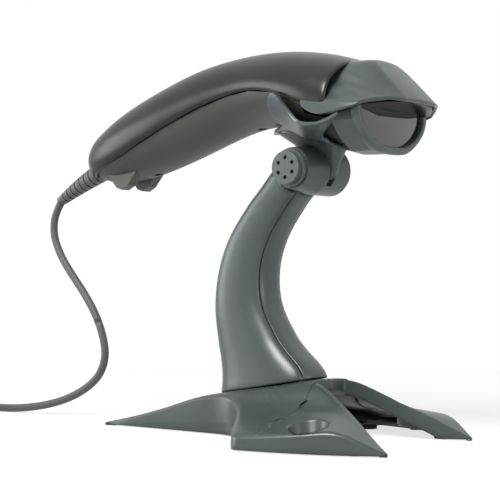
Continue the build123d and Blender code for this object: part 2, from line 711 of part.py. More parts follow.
# ---- pivot: barrel, cap, bolt, nut, washers and knob ----
def pivot_place(y):
    """A plane square to the pivot's axis at a distance along Y, facing +Y."""
    return Plane(origin=(PIVOT_X, y, PIVOT_Z), x_dir=(1, 0, 0), z_dir=(0, 1, 0))


def turned(y, radius, length):
    """A disc on the pivot's axis from y towards +Y."""
    return extrude(pivot_place(y) * Circle(radius), length)


def make_pivot_housing():
    """Fixed barrel on top of the arm, slotted for the cradle's blade and bored for the bolt."""
    taper = loft([pivot_place(BARREL_NEAR_Y) * Circle(BARREL_KNOB_END_RADIUS), pivot_place(-3.0) * Circle(BARREL_RADIUS)])
    barrel = taper + turned(-3.0, BARREL_RADIUS, BARREL_FAR_Y + 3.0)
    root = arm_blank(ARM_WALL + FIT_GAP) & housing_root_zone()
    barrel = barrel + root
    barrel = barrel - blade_disc(BLADE_POCKET_RADIUS, SLOT_WIDTH)
    barrel = barrel - side_prism(sector(SLOT_FRONT_ANGLE, SLOT_REAR_ANGLE, BARREL_RADIUS + 4.0), SLOT_WIDTH / 2)
    barrel = barrel - barrel_bolt_bore(BOLT_RADIUS + RUNNING_GAP)
    barrel = barrel - turned(BARREL_FAR_Y - NUT_THICK - 1.0, NUT_RADIUS + 0.1, NUT_THICK + 2.0)
    for y in (-SLOT_WIDTH / 2 - WASHER_SEAT, SLOT_WIDTH / 2):
        barrel = barrel - turned(y, WASHER_RADIUS + 0.1, WASHER_SEAT)
    return only(barrel)


FIT_GAP = 0.05


def housing_root_zone():
    """Where the barrel's root plugs into the top of the hollow arm."""
    return side_prism([(-30.0, 106.0), (30.0, 106.0), (30.0, PIVOT_Z - 5.0), (-30.0, PIVOT_Z - 5.0)])


def make_pivot_end_cap():
    """Domed cap on the barrel's far end."""
    radius = (BARREL_RADIUS**2 + DOME_DEPTH**2) / (2 * DOME_DEPTH)
    dome = Pos(PIVOT_X, BARREL_FAR_Y + DOME_DEPTH - radius, PIVOT_Z) * Sphere(radius)
    cap = dome & turned(BARREL_FAR_Y, BARREL_RADIUS + 1, DOME_DEPTH + 1)
    return only(cap - turned(BARREL_FAR_Y - 1, NUT_RADIUS + 0.5, 3.0))


def make_pivot_bolt():
    """Clamp bolt moulded into the knob, from the knob's face to the nut."""
    start = BARREL_NEAR_Y - KNOB_BACK_GAP - KNOB_DEPTH + KNOB_SKIN
    return turned(start, BOLT_RADIUS, BARREL_FAR_Y + 0.5 - start)


def make_pivot_nut():
    """Nut held in the barrel's far end."""
    nut = turned(BARREL_FAR_Y - NUT_THICK - 1.0, NUT_RADIUS, NUT_THICK)
    return only(nut - barrel_bolt_bore(BOLT_RADIUS + RUNNING_GAP))


def make_friction_washers():
    """Two thin washers that grip the blade."""
    seat = SLOT_WIDTH / 2 + WASHER_SEAT
    thick = seat - BLADE_THICK / 2 - RUNNING_GAP
    washers = [turned(-seat, WASHER_RADIUS, thick), turned(seat - thick, WASHER_RADIUS, thick)]
    return [only(w - barrel_bolt_bore(BOLT_RADIUS + RUNNING_GAP)) for w in washers]


def make_tension_knob():
    """Round knob with a rim and a ring of blind holes."""
    back = BARREL_NEAR_Y - KNOB_BACK_GAP
    rim = turned(back - 2.0, KNOB_RIM_RADIUS, 2.0)
    face = turned(back - KNOB_DEPTH, KNOB_RADIUS, KNOB_DEPTH)
    knob = rim + face
    for i in range(KNOB_HOLES):
        angle = math.radians(30 + 60 * i)
        x = PIVOT_X + KNOB_HOLE_CIRCLE * math.cos(angle)
        z = PIVOT_Z + KNOB_HOLE_CIRCLE * math.sin(angle)
        hole = Plane(origin=(x, back - KNOB_DEPTH - 1, z), x_dir=(1, 0, 0), z_dir=(0, 1, 0)) * Circle(KNOB_HOLE_RADIUS)
        knob = knob - extrude(hole, 3.0)
    return only(knob - turned(back - KNOB_DEPTH + KNOB_SKIN, BOLT_RADIUS, KNOB_DEPTH))


# ---- arm ----
def arm_section(z, x, deep, wide):
    """Rounded section of the arm at one height."""
    return Plane.XY.offset(z) * Pos(x, 0) * RectangleRounded(2 * deep, 2 * wide, min(ARM_CORNER, wide - 0.5, deep - 0.5))


def arm_blank(inset=0.0):
    """The arm's outer form, with every section drawn in by inset."""
    sections = [Plane.XY.offset(z) * Pos(x, 0) * RectangleRounded(2 * (deep - inset), 2 * (wide - inset), ARM_CORNER - inset)
                for z, x, deep, wide in ARM_LEVELS]
    return loft(sections)


def above_foot(gap):
    """Everything above the slanted seam of the arm's foot."""
    (x0, z0), (x1, z1) = ARM_FOOT
    slope = (z1 - z0) / (x1 - x0)
    far0, far1 = z0 - slope * 80 + gap, z1 + slope * 80 + gap
    return side_prism([(x0 - 80, far0), (x1 + 80, far1), (x1 + 80, 300.0), (x0 - 80, 300.0)])


def arm_outside():
    """The whole arm, with its foot and its saddle under the barrel."""
    arm = arm_blank() & above_foot(SEAM)
    saddle = extrude(Plane.XZ * Pos(PIVOT_X, PIVOT_Z) * Circle(BARREL_RADIUS + SEAM), 40, both=True)
    front_top = side_prism([(-2.0, 116.0), (30.0, 114.6), (60.0, 114.6), (60.0, 160.0), (-2.0, 160.0)])
    return only(arm - saddle - front_top)


def cover_zone(shift):
    """The space in front of the arm's front seam."""
    line = [(x + shift, z) for z, x in COVER_LINE]
    return side_prism([*line, (line[-1][0] + 4.0, 118.0), (80.0, 118.0), (80.0, 16.0)])


def make_arm_shell():
    """Curved arm, hollow, open along its front for the cover."""
    arm = arm_outside() - arm_blank(ARM_WALL) - cover_zone(-SEAM / 2)
    arm = arm + ((arm_outside() - above_foot(ARM_FOOT_BLOCK)) - cover_zone(-SEAM / 2))
    for x, y in arm_screw_places():
        arm = arm - Pos(x, y, 30.0) * Cylinder(ARM_SCREW_RADIUS + 0.05, 60.0)
    return only(arm)


def make_arm_front_cover():
    """Strip that closes the arm's front, from the foot to under the barrel."""
    return only((arm_outside() - arm_blank(ARM_WALL)) & cover_zone(SEAM / 2))


# ---- base ----
def base_outline():
    """Plan outline of the base."""
    half = list(BASE_PLAN)
    left = [(x, -y) for x, y in reversed(half)]
    return [*half, *left, (BASE_REAR_NOTCH_X, 0.0)]


def base_blank(inset=0.0):
    """The base's outer form, drawn in by a wall on the sides and the top."""
    outline = Polygon(*base_outline(), align=None)
    if inset:
        outline = offset(outline, -inset, kind=Kind.INTERSECTION)
    plan = extrude(Plane.XY.offset(FLOOR_GAP - (1.0 if inset else 0.0)) * outline, 60, dir=(0, 0, 1))
    side = side_prism([(BASE_SIDE[0][0] - 1, -5.0), *moved([(BASE_SIDE[0][0] - 1, BASE_SIDE[0][1]), *BASE_SIDE], dz=-inset),
                       (BASE_SIDE[-1][0] + 1, -5.0)])
    half = [(y, z - inset) for y, z in reversed(BASE_FRONT)]
    half = [(half[0][0] + 10.0, -5.0), (half[0][0] + 10.0, half[0][1] - 1.5), *half]
    front = front_prism(mirrored(half), -120.0, 120.0)
    return plan & side & front


def make_base_shell():
    """Hollow base: two slim rear legs, two wide front legs, arches, lips and fixing pockets."""
    shell = base_blank() - base_blank(BASE_WALL)
    shell = shell - side_prism(ARCH, 60.0)
    shell = shell - recess_opening()
    for side in (-1, 1):
        x, y = POCKET_CENTRE
        cup = Pos(x, side * y, 0) * Cylinder(POCKET_RADIUS + 1.8, 80)
        shell = shell + (cup & base_blank() & plan_prism([(-200, -200), (200, -200), (200, 200), (-200, 200)],
                                                         POCKET_FLOOR - POCKET_FLOOR_THICK, 60.0))
        shell = shell - Pos(x, side * y, POCKET_FLOOR + 40) * Cylinder(POCKET_RADIUS, 80)
        shell = shell - Pos(x, side * y, 0) * Cylinder(FIXING_HOLE_RADIUS, 40)
    for x, y in foot_places():
        shell = shell + (Pos(x, y, 20.0) * Cylinder(FOOT_RADIUS + BASE_WALL / 2, 40.0) & base_blank())
        shell = shell - Pos(x, y, 0) * Cylinder(FOOT_RADIUS + FOOT_GAP, 2 * FOOT_HEIGHT)
    shell = shell + (Pos(0, 0, 20.0) * Cylinder(MIDDLE_FOOT_RADIUS + MIDDLE_FOOT_WALL, 40.0) & base_blank())
    shell = shell - Cylinder(MIDDLE_FOOT_RADIUS + FOOT_GAP, 2 * FOOT_HEIGHT)
    for x, y in arm_screw_places():
        boss = Pos(x, y, 13.0) * Cylinder(ARM_BOSS_RADIUS, 22.0) & base_blank()
        shell = shell + boss
        shell = shell - Pos(x, y, 10.0) * Cylinder(ARM_SCREW_RADIUS + 0.1, 60.0)
        shell = shell - Pos(x, y, 2.0) * Cylinder(ARM_SCREW_HEAD_RADIUS + 0.2, 20.0)
    return only(shell)


def recess_opening():
    """Opening below the lip on the inner walls of the front legs."""
    x0, y0 = BASE_PLAN[-1]
    x1, y1 = BASE_PLAN[-2]
    reach = BASE_WALL + 1.0
    wedge = [(x0 + 4.0, y0 + reach), (x1 - 14.0, y1 + reach - 7.0), (x1 - 14.0, -(y1 + reach - 7.0)), (x0 + 4.0, -(y0 + reach))]
    low = [(x, z - LEG_LIP) for x, z in BASE_SIDE[4:] if z > LEG_LIP + 2.0]
    low = [(low[0][0], -2.0), *low, (x1 - 14.0, 2.0), (x1 - 14.0, -2.0)]
    return plan_prism(wedge, -2.0, 40.0) & side_prism(low)


def foot_places():
    """Plan places of the rubber feet."""
    return [(x, side * y) for x, y in ((-40.0, 13.0), (16.0, 48.0), (66.0, 37.5)) for side in (-1, 1)]


def make_base_feet():
    """Rubber feet: two under the rear legs, four under the wings and a small one under the middle."""
    feet = [Pos(x, y, FOOT_HEIGHT / 2) * Cylinder(FOOT_RADIUS, FOOT_HEIGHT) for x, y in foot_places()]
    feet.append(Pos(0, 0, FOOT_HEIGHT / 2) * Cylinder(MIDDLE_FOOT_RADIUS, FOOT_HEIGHT))
    return feet


ARM_BOSS_RADIUS = 4.6
ARM_SCREW_RADIUS = 1.9
ARM_SCREW_HEAD_RADIUS = 3.4


def arm_screw_places():
    """Screws that hold the arm on the base, in a row."""
    return [(-24.0, 0.0), (-8.0, 0.0), (10.0, 0.0)]


def make_base_screws():
    """Long screws up through the base into the arm's foot."""
    screws = []
    for x, y in arm_screw_places():
        screws.append(Pos(x, y, 10.8) * Cylinder(ARM_SCREW_HEAD_RADIUS, 2.4) + Pos(x, y, 20.0) * Cylinder(ARM_SCREW_RADIUS, 18.0))
    return screws


def make_base_weight():
    """Steel ballast plate, pushed up over the base's screw bosses."""
    x, z = WEIGHT_CENTRE
    plate = Pos(x, 0, z) * Box(*WEIGHT_SIZE)
    for px, py in arm_screw_places():
        plate = plate - Pos(px, py, z) * Cylinder(ARM_BOSS_RADIUS + 0.2, 20.0)
    plate = plate - Pos(0, 0, z) * Cylinder(MIDDLE_FOOT_RADIUS + MIDDLE_FOOT_WALL + 0.2, 20.0)
    return only(plate)


# ---- cord: boot, tube, coil, tie and plug ----
def boot_direction(angle):
    """Direction of the boot's axis, rearwards and down by an angle."""
    slope = math.radians(angle)
    return Vector(-math.cos(slope), 0, -math.sin(slope))


def cord_start_direction():
    """Direction in which the cord leaves its boot."""
    return (Vector(*CORD_ROUTE[1]) - Vector(*CORD_ROUTE[0])).normalized()


def make_cable_boot():
    """Ribbed strain relief, tapered and bent down, with a shoulder that the tail shells trap."""
    rings = []
    for x, z, angle, radius in BOOT_STATIONS[:-1]:
        rings.append(Plane(origin=(x, 0, z), z_dir=boot_direction(angle)) * Circle(radius))
    x, z, _, radius = BOOT_STATIONS[-1]
    rings.append(Plane(origin=(x, 0, z), z_dir=cord_start_direction()) * Circle(radius))
    shoulder = rod(Vector(TAIL_EXIT[0], 0, TAIL_EXIT[1]), TAIL_DIRECTION, BOOT_SHOULDER, 7.0)
    boot = loft(rings) + shoulder
    for i in range(BOOT_SLITS):
        boot = boot - boot_slit(0.14 + 0.72 * i / (BOOT_SLITS - 1))
    return only(boot)


BOOT_SLITS = 8
SLIT_WIDTH = 0.9
SLIT_DEPTH = 1.0


def boot_slit(share):
    """Ring-shaped groove round the boot at a share of its length."""
    first, middle, last = BOOT_STATIONS
    u, v = (first, middle) if share < 0.5 else (middle, last)
    t = 2 * share if share < 0.5 else 2 * share - 1
    x, z, radius = (u[i] + (v[i] - u[i]) * t for i in (0, 1, 3))
    axis = Vector(v[0] - u[0], 0, v[1] - u[1]).normalized()
    start = Vector(x, 0, z) - axis * SLIT_WIDTH / 2
    return rod(start, axis, radius + 3.0, SLIT_WIDTH) - rod(start, axis, radius - SLIT_DEPTH, SLIT_WIDTH)


def cord_radii():
    """Bend radius at each corner of the route, from its shorter run and its turn."""
    points = [Vector(*p) for p in CORD_ROUTE]
    radii = []
    for before, corner, after in zip(points, points[1:], points[2:]):
        turn = math.radians((corner - before).get_angle(after - corner))
        run = min((corner - before).length, (after - corner).length)
        radii.append(0.45 * run / math.tan(turn / 2))
    return radii


def make_cable():
    """The cord from its boot, down to the surface and along it to the coil."""
    radii = cord_radii()
    path = FilletPolyline(*CORD_ROUTE, radius=radii)
    start = Plane(origin=CORD_ROUTE[0], z_dir=cord_start_direction())
    tube = sweep(start * Circle(CORD_RADIUS), path=path)
    print("cord bend radii", [round(r, 1) for r in radii])
    print("cord length", round(path.length, 1), "volume over section times length",
          round(tube.volume / (math.pi * CORD_RADIUS**2 * path.length), 4))
    return tube


def make_cable_coil():
    """The cord's spare length, wound in a round coil on the surface."""
    outer = COIL_RADIUS + COIL_WIDTH / 2
    ring = Circle(outer) - Circle(outer - COIL_WIDTH)
    coil = extrude(Plane.XY.offset(COIL_BOTTOM) * Pos(*COIL_CENTRE) * ring, COIL_HEIGHT)
    return fillet(coil.edges(), COIL_ROUNDING)


COIL_BOTTOM = 1.0
COIL_ROUNDING = 4.0
TIE_ANGLE = 215.0
TIE_WIDTH = 8.0
TIE_THICK = 0.8


def make_coil_tie():
    """Strap round the coil's turns."""
    inner = (COIL_WIDTH + 0.8, TIE_WIDTH + 2.0, COIL_HEIGHT + 0.2)
    outer = (COIL_WIDTH + 0.8 + 2 * TIE_THICK, TIE_WIDTH, COIL_HEIGHT + 0.2 + 2 * TIE_THICK)
    strap = Box(*outer) - Box(*inner)
    z = COIL_BOTTOM + COIL_HEIGHT / 2
    place = Pos(*COIL_CENTRE, z) * Rot(0, 0, TIE_ANGLE) * Pos(COIL_RADIUS, 0, 0)
    return only(place * strap)


def plug_point(along):
    """A point on the plug's axis, measured from the end of the coil."""
    return (COIL_CENTRE[0] + along, COIL_CENTRE[1] - COIL_RADIUS, PLUG_BODY[2] / 2 + 0.2)


def make_cable_tail():
    """Short end of the cord between the coil and its plug."""
    return rod(Vector(*plug_point(CORD_TAIL_START)), Vector(1, 0, 0), CORD_RADIUS, CORD_TAIL)


def make_usb_plug_body():
    """Moulded grip of the plug, with its short tapered boot."""
    x = CORD_TAIL_START + CORD_TAIL
    length, radius = PLUG_BOOT
    rear = Plane(origin=plug_point(x), z_dir=(1, 0, 0)) * Circle(CORD_RADIUS + 0.5)
    front = Plane(origin=plug_point(x + length), z_dir=(1, 0, 0)) * Circle(radius - 1.6)
    grip = Pos(*plug_point(x + length + PLUG_BODY[0] / 2)) * Box(*PLUG_BODY)
    grip = fillet(grip.edges().filter_by(Axis.X), 1.6)
    body = loft([rear, front]) + grip
    return only(body)


def make_usb_plug_shell():
    """Sheet metal shell of the plug."""
    x = CORD_TAIL_START + CORD_TAIL + PLUG_BOOT[0] + PLUG_BODY[0]
    length, wide, tall = PLUG_SHELL
    shell = Pos(*plug_point(x + length / 2)) * Box(length, wide, tall)
    hollow = Pos(*plug_point(x + length / 2 + 2)) * Box(length, wide - 2 * SHELL_SHEET, tall - 2 * SHELL_SHEET)
    return only(shell - hollow)


def make_usb_contacts():
    """Tongue with the plug's contacts."""
    x = CORD_TAIL_START + CORD_TAIL + PLUG_BOOT[0] + PLUG_BODY[0] + 2.0
    length, wide, tall = PLUG_SHELL
    px, py, pz = plug_point(x + (length - 3) / 2)
    return Pos(px, py, pz - tall / 4 + SHELL_SHEET / 2) * Box(length - 3, wide - 2 * SHELL_SHEET - 0.2, tall / 2 - SHELL_SHEET - 0.1)


# ---- every sub-part, under the name of its node ----
NODES = {
    "base_shell": make_base_shell,
    "base_weight": make_base_weight,
    "base_feet": make_base_feet,
    "base_screws": make_base_screws,
    "arm_shell": make_arm_shell,
    "arm_front_cover": make_arm_front_cover,
    "pivot_housing": make_pivot_housing,
    "pivot_end_cap": make_pivot_end_cap,
    "pivot_bolt": make_pivot_bolt,
    "pivot_nut": make_pivot_nut,
    "friction_washers": make_friction_washers,
    "tension_knob": make_tension_knob,
    "cradle_cup": make_cradle_cup,
    "cradle_magnet": make_cradle_magnet,
    "handle_upper_shell": make_upper_shell,
    "handle_lower_shell": make_lower_shell,
    "head_hood": make_head_hood,
    "top_spine": make_top_spine,
    "light_pipe": make_light_pipe,
    "scan_button": make_scan_button,
    "button_carrier": make_button_carrier,
    "button_board": make_button_board,
    "button_switch": make_button_switch,
    "nose_housing": make_nose_housing,
    "window_bezel": make_window_bezel,
    "window_seal": make_window_seal,
    "scan_window": make_scan_window,
    "main_board": make_main_board,
    "board_screws": make_board_screws,
    "optics_deck": make_optics_deck,
    "deck_screws": make_deck_screws,
    "scan_mirror": make_scan_mirror,
    "mirror_drive": make_mirror_drive,
    "laser_module": make_laser_module,
    "collecting_mirror": make_collecting_mirror,
    "light_sensor": make_light_sensor,
    "cable_socket": make_cable_socket,
    "shell_screws": make_shell_screws,
    "tail_fins": make_tail_fins,
    "modular_plug": make_modular_plug,
    "cable_boot": make_cable_boot,
    "cable": make_cable,
    "cable_coil": make_cable_coil,
    "coil_tie": make_coil_tie,
    "cable_tail": make_cable_tail,
    "usb_plug_body": make_usb_plug_body,
    "usb_plug_shell": make_usb_plug_shell,
    "usb_contacts": make_usb_contacts,
}


def main():
    """Build every sub-part and write it to parts/."""
    os.makedirs("parts", exist_ok=True)
    for name, make in NODES.items():
        made = make()
        shape = Compound(children=[s for m in made for s in m.solids()]) if isinstance(made, list) else made
        export_step(shape, f"parts/{name}.step")


main()
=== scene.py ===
import json
import logging
import math
from bisect import bisect_right
from dataclasses import dataclass
from enum import Enum
from typing import Any, Callable, Sequence

import bpy
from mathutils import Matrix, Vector


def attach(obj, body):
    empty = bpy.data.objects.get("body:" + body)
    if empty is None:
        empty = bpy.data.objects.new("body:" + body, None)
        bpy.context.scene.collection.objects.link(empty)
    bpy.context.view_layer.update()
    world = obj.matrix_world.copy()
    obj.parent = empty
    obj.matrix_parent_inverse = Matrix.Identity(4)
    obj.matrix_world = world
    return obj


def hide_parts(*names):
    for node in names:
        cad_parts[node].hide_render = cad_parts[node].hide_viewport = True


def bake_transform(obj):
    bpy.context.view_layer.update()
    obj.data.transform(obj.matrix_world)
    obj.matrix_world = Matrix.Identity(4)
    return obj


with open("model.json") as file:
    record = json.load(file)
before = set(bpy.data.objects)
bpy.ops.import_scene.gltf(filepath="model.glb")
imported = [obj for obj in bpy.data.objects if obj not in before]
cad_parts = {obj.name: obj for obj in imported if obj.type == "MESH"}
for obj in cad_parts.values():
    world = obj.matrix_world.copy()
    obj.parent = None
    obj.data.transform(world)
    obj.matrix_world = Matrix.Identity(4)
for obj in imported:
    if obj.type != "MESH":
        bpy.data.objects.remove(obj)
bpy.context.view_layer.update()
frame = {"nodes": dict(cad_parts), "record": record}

LOG = logging.getLogger("scanner_scene")
MM = 0.001
WHITE = (1, 1, 1, 1)
Point = tuple[float, float, float]
Colour = tuple[float, float, float, float]
Rows = tuple[tuple[float, ...], ...]
Ring = list[Vector]
Skin = tuple[list[Vector], list[list[int]]]


# ---------------------------------------------------------------- shader kit


class Kind(Enum):
    """Node types that the finishes and the studio use."""

    NOISE = "ShaderNodeTexNoise"
    VORONOI = "ShaderNodeTexVoronoi"
    BRICK = "ShaderNodeTexBrick"
    RAMP = "ShaderNodeValToRGB"
    BUMP = "ShaderNodeBump"
    COORDS = "ShaderNodeTexCoord"
    MATH = "ShaderNodeMath"
    VECTOR_MATH = "ShaderNodeVectorMath"
    MIX = "ShaderNodeMix"
    PRINCIPLED = "ShaderNodeBsdfPrincipled"
    EMISSION = "ShaderNodeEmission"
    MIX_SHADER = "ShaderNodeMixShader"
    LIGHT_PATH = "ShaderNodeLightPath"
    BACKGROUND = "ShaderNodeBackground"
    WORLD_OUTPUT = "ShaderNodeOutputWorld"
    OUTPUT = "ShaderNodeOutputMaterial"


class Value:
    """A socket that arithmetic can be written with."""

    def __init__(self, tree: "Tree", socket: bpy.types.NodeSocket) -> None:
        """Keeps the socket and the tree that it is in."""
        self.tree = tree
        self.socket = socket

    def _math(self, operation: str, first: Any, second: Any) -> "Value":
        """Adds one Math node.

        Args:
            operation: the Math node's operation.
            first: its first value or socket.
            second: its second value or socket.

        Returns:
            The node's result.
        """
        return self.tree.add(Kind.MATH, {"operation": operation}, {0: first, 1: second})

    def __add__(self, other: Any) -> "Value":
        """Sum."""
        return self._math("ADD", self, other)

    def __radd__(self, other: Any) -> "Value":
        """Sum with a number on the left."""
        return self._math("ADD", other, self)

    def __sub__(self, other: Any) -> "Value":
        """Difference."""
        return self._math("SUBTRACT", self, other)

    def __rsub__(self, other: Any) -> "Value":
        """Difference from a number on the left."""
        return self._math("SUBTRACT", other, self)

    def __mul__(self, other: Any) -> "Value":
        """Product."""
        return self._math("MULTIPLY", self, other)

    def __rmul__(self, other: Any) -> "Value":
        """Product with a number on the left."""
        return self._math("MULTIPLY", other, self)

    def __or__(self, other: Any) -> "Value":
        """The larger of two masks."""
        return self._math("MAXIMUM", self, other)


class Tree:
    """The node tree of one material or world, written as expressions."""

    def __init__(self, name: str, world: bool = False) -> None:
        """Makes an empty material, or an empty world, of that name.

        Args:
            name: the owner's name.
            world: whether it is a world and not a material.
        """
        self.owner = (bpy.data.worlds if world else bpy.data.materials).new(name)
        self.owner.use_nodes = True
        self.nodes = self.owner.node_tree.nodes
        self.links = self.owner.node_tree.links
        self.nodes.clear()

    def add(
        self, kind: Kind, settings: dict[str, Any], inputs: dict[Any, Any], output: Any = 0
    ) -> Value:
        """Adds one node.

        Args:
            kind: the node's type.
            settings: its settings, set first. "stops" are a ramp's places and greys or colours.
            inputs: values or links for its sockets, by name or place.
            output: the socket to hand back, by name or place.

        Returns:
            That output, wrapped.
        """
        node = self.nodes.new(kind.value)
        for key, value in settings.items():
            if key == "stops":
                self._stops(node, value)
            else:
                setattr(node, key, value)
        for key, value in inputs.items():
            if isinstance(value, Value):
                self.links.new(value.socket, node.inputs[key])
            else:
                node.inputs[key].default_value = value
        return Value(self, node.outputs[output]) if len(node.outputs) else Value(self, None)

    def _stops(self, node: bpy.types.Node, stops: Sequence[tuple[float, float]]) -> None:
        """Sets a ramp's stops from places and greys.

        Args:
            node: the ramp.
            stops: pairs of place and grey.
        """
        elements = node.color_ramp.elements
        while len(elements) < len(stops):
            elements.new(0.5)
        for element, (place, grey) in zip(elements, stops):
            element.position = place
            element.color = (grey, grey, grey, 1)

    def coords(self) -> Value:
        """Places on the piece in the row frame, in metres."""
        return self.add(Kind.COORDS, {}, {}, "Object")

    def scaled(self, vector: Value, factors: Point) -> Value:
        """Stretches coordinates by a factor along each axis."""
        return self.add(Kind.VECTOR_MATH, {"operation": "MULTIPLY"}, {0: vector, 1: factors})

    def noise(self, vector: Value, scale: float, detail: float = 2.0, rough: float = 0.5) -> Value:
        """Soft noise from 0 to 1."""
        inputs = {"Vector": vector, "Scale": scale, "Detail": detail, "Roughness": rough}
        return self.add(Kind.NOISE, {}, inputs, "Fac")

    def cells(self, vector: Value, scale: float, feature: str = "F1") -> Value:
        """Distance in a pattern of cells."""
        return self.add(Kind.VORONOI, {"feature": feature}, {"Vector": vector, "Scale": scale}, "Distance")

    def ramp(self, factor: Value, *stops: tuple[float, float]) -> Value:
        """Reshapes a value by stops of place and grey."""
        return self.add(Kind.RAMP, {"stops": stops}, {"Fac": factor}, "Color")

    def mixed(self, factor: Any, first: Any, second: Any) -> Value:
        """A colour between two colours."""
        return self.add(Kind.MIX, {"data_type": "RGBA"}, {0: factor, 6: first, 7: second}, 2)

    def bump(self, height: Value, strength: float, distance: float) -> Value:
        """A surface normal from a height from 0 to 1 that stands for a distance in metres."""
        inputs = {"Height": height, "Strength": strength, "Distance": distance}
        return self.add(Kind.BUMP, {}, inputs, "Normal")

    def principled(self, **sockets: Any) -> bpy.types.Material:
        """Closes the material with one shader, its sockets named with underscores for spaces."""
        inputs = {name.replace("_", " "): value for name, value in sockets.items()}
        return self.close(self.add(Kind.PRINCIPLED, {}, inputs, "BSDF"))

    def backdrop_rays(self) -> Value:
        """1 for the rays that show the backdrop: the camera's, reflected ones and those through glass.

        Returns:
            The mask.
        """
        camera, glossy, through = (
            self.add(Kind.LIGHT_PATH, {}, {}, ray)
            for ray in ("Is Camera Ray", "Is Glossy Ray", "Is Transmission Ray")
        )
        return camera | glossy | through

    def close(self, shader: Value, kind: Kind = Kind.OUTPUT) -> Any:
        """Joins a shader to the output and hands back the material or world."""
        self.add(kind, {}, {"Surface": shader})
        return self.owner


def linear(red: int, green: int, blue: int) -> Colour:
    """A linear colour from display values of 0 to 255, by the sRGB curve."""
    parts = [c / 255 for c in (red, green, blue)]
    return (*[c / 12.92 if c <= 0.04045 else ((c + 0.055) / 1.055) ** 2.4 for c in parts], 1.0)


def shade(colour: Sequence[float], factor: float) -> Colour:
    """The same colour, lighter or darker."""
    return (*[min(1.0, c * factor) for c in colour[:3]], 1.0)


# ---------------------------------------------------------------- finishes


@dataclass(frozen=True)
class MouldedPlastic:
    """Satin plastic from a spark-eroded mould: grain, painted glints, cloudy tone and rubbed patches."""

    name: str
    colour: Colour
    roughness: float = 0.42
    grain: float = 2600.0
    grain_height: float = 0.00004
    # how strongly the painted glints lighten the colour
    glint_share: float = 0.35
    specular: float = 0.5
    cloud_scale: float = 38.0
    rub_scale: float = 15.0

    def make(self) -> bpy.types.Material:
        """Builds the material.

        Returns:
            The material.
        """
        t = Tree(self.name)
        at = t.coords()
        grain = t.noise(at, self.grain, 3.0, 0.65)
        # painted glints: small spots mixed towards a much lighter colour stand in for light catching the
        # mould's texture
        painted_glints = t.ramp(t.noise(at, self.grain * 0.55, 2.0, 0.8), (0.56, 0.0), (0.68, 1.0))
        cloud = t.noise(at, self.cloud_scale, 4.0, 0.55)
        rubbed = t.ramp(t.noise(at, self.rub_scale, 5.0, 0.6), (0.48, 0.0), (0.72, 1.0))
        dark, light = shade(self.colour, 0.82), shade(self.colour, 1.22)
        base = t.mixed(cloud, dark, light)
        # the painted glints are mixed into the base colour here
        base = t.mixed(painted_glints * self.glint_share, base, shade(self.colour, 2.1))
        roughness = self.roughness + (grain - 0.5) * 0.16 - rubbed * 0.07
        height = grain + t.noise(at, self.grain * 0.3, 2.0, 0.5) * 0.7
        return t.principled(
            Base_Color=base,
            Roughness=roughness,
            Specular_IOR_Level=self.specular,
            Normal=t.bump(height, 0.45, self.grain_height),
        )


@dataclass(frozen=True)
class SoftRubber:
    """Matte rubber or cord jacket with a dusty bloom and a faint moulded grain."""

    name: str
    colour: Colour
    roughness: float = 0.72
    bloom: float = 0.25
    dust_scale: float = 90.0
    grain_scale: float = 3200.0
    grain_height: float = 0.00003

    def make(self) -> bpy.types.Material:
        """Builds the material.

        Returns:
            The material.
        """
        t = Tree(self.name)
        at = t.coords()
        dust = t.ramp(t.noise(at, self.dust_scale, 5.0, 0.7), (0.45, 0.0), (0.75, 1.0))
        grain = t.noise(at, self.grain_scale, 2.0, 0.6)
        base = t.mixed(dust * self.bloom, self.colour, shade(self.colour, 1.9))
        base = t.mixed(grain * 0.3, base, shade(self.colour, 0.7))
        return t.principled(
            Base_Color=base,
            Roughness=self.roughness + (grain - 0.5) * 0.12 + dust * 0.08,
            Sheen_Weight=0.15,
            Normal=t.bump(grain, 0.35, self.grain_height),
        )


@dataclass(frozen=True)
class DarkWindow:
    """Deep tinted window: near black, glossy, with a faint wipe pattern in its gloss."""

    name: str
    colour: Colour
    roughness: float = 0.045
    wipe_scale: float = 160.0
    speck_scale: float = 900.0

    def make(self) -> bpy.types.Material:
        """Builds the material.

        Returns:
            The material.
        """
        t = Tree(self.name)
        at = t.coords()
        wipes = t.noise(t.scaled(at, (1.0, 0.25, 1.0)), self.wipe_scale, 4.0, 0.6)
        specks = t.ramp(t.cells(at, self.speck_scale), (0.02, 1.0), (0.05, 0.0))
        base = t.mixed(wipes * 0.4, self.colour, shade(self.colour, 1.8))
        return t.principled(
            Base_Color=t.mixed(specks * 0.25, base, linear(120, 125, 120)),
            Roughness=self.roughness + wipes * 0.05 + specks * 0.1,
            Specular_IOR_Level=0.7,
            Coat_Weight=0.6,
            Coat_Roughness=0.03,
        )


@dataclass(frozen=True)
class ClearPlastic:
    """Clear or tinted see-through plastic with a little haze."""

    name: str
    colour: Colour
    see_through: float = 0.85
    bending: float = 1.49
    haze_scale: float = 400.0
    haze_height: float = 0.00005

    def make(self) -> bpy.types.Material:
        """Builds the material.

        Returns:
            The material.
        """
        t = Tree(self.name)
        at = t.coords()
        haze = t.noise(at, self.haze_scale, 4.0, 0.6)
        return t.principled(
            Base_Color=t.mixed(haze * 0.4, self.colour, shade(self.colour, 0.7)),
            Roughness=0.08 + haze * 0.16,
            Transmission_Weight=self.see_through,
            IOR=self.bending,
            Normal=t.bump(haze, 0.2, self.haze_height),
        )


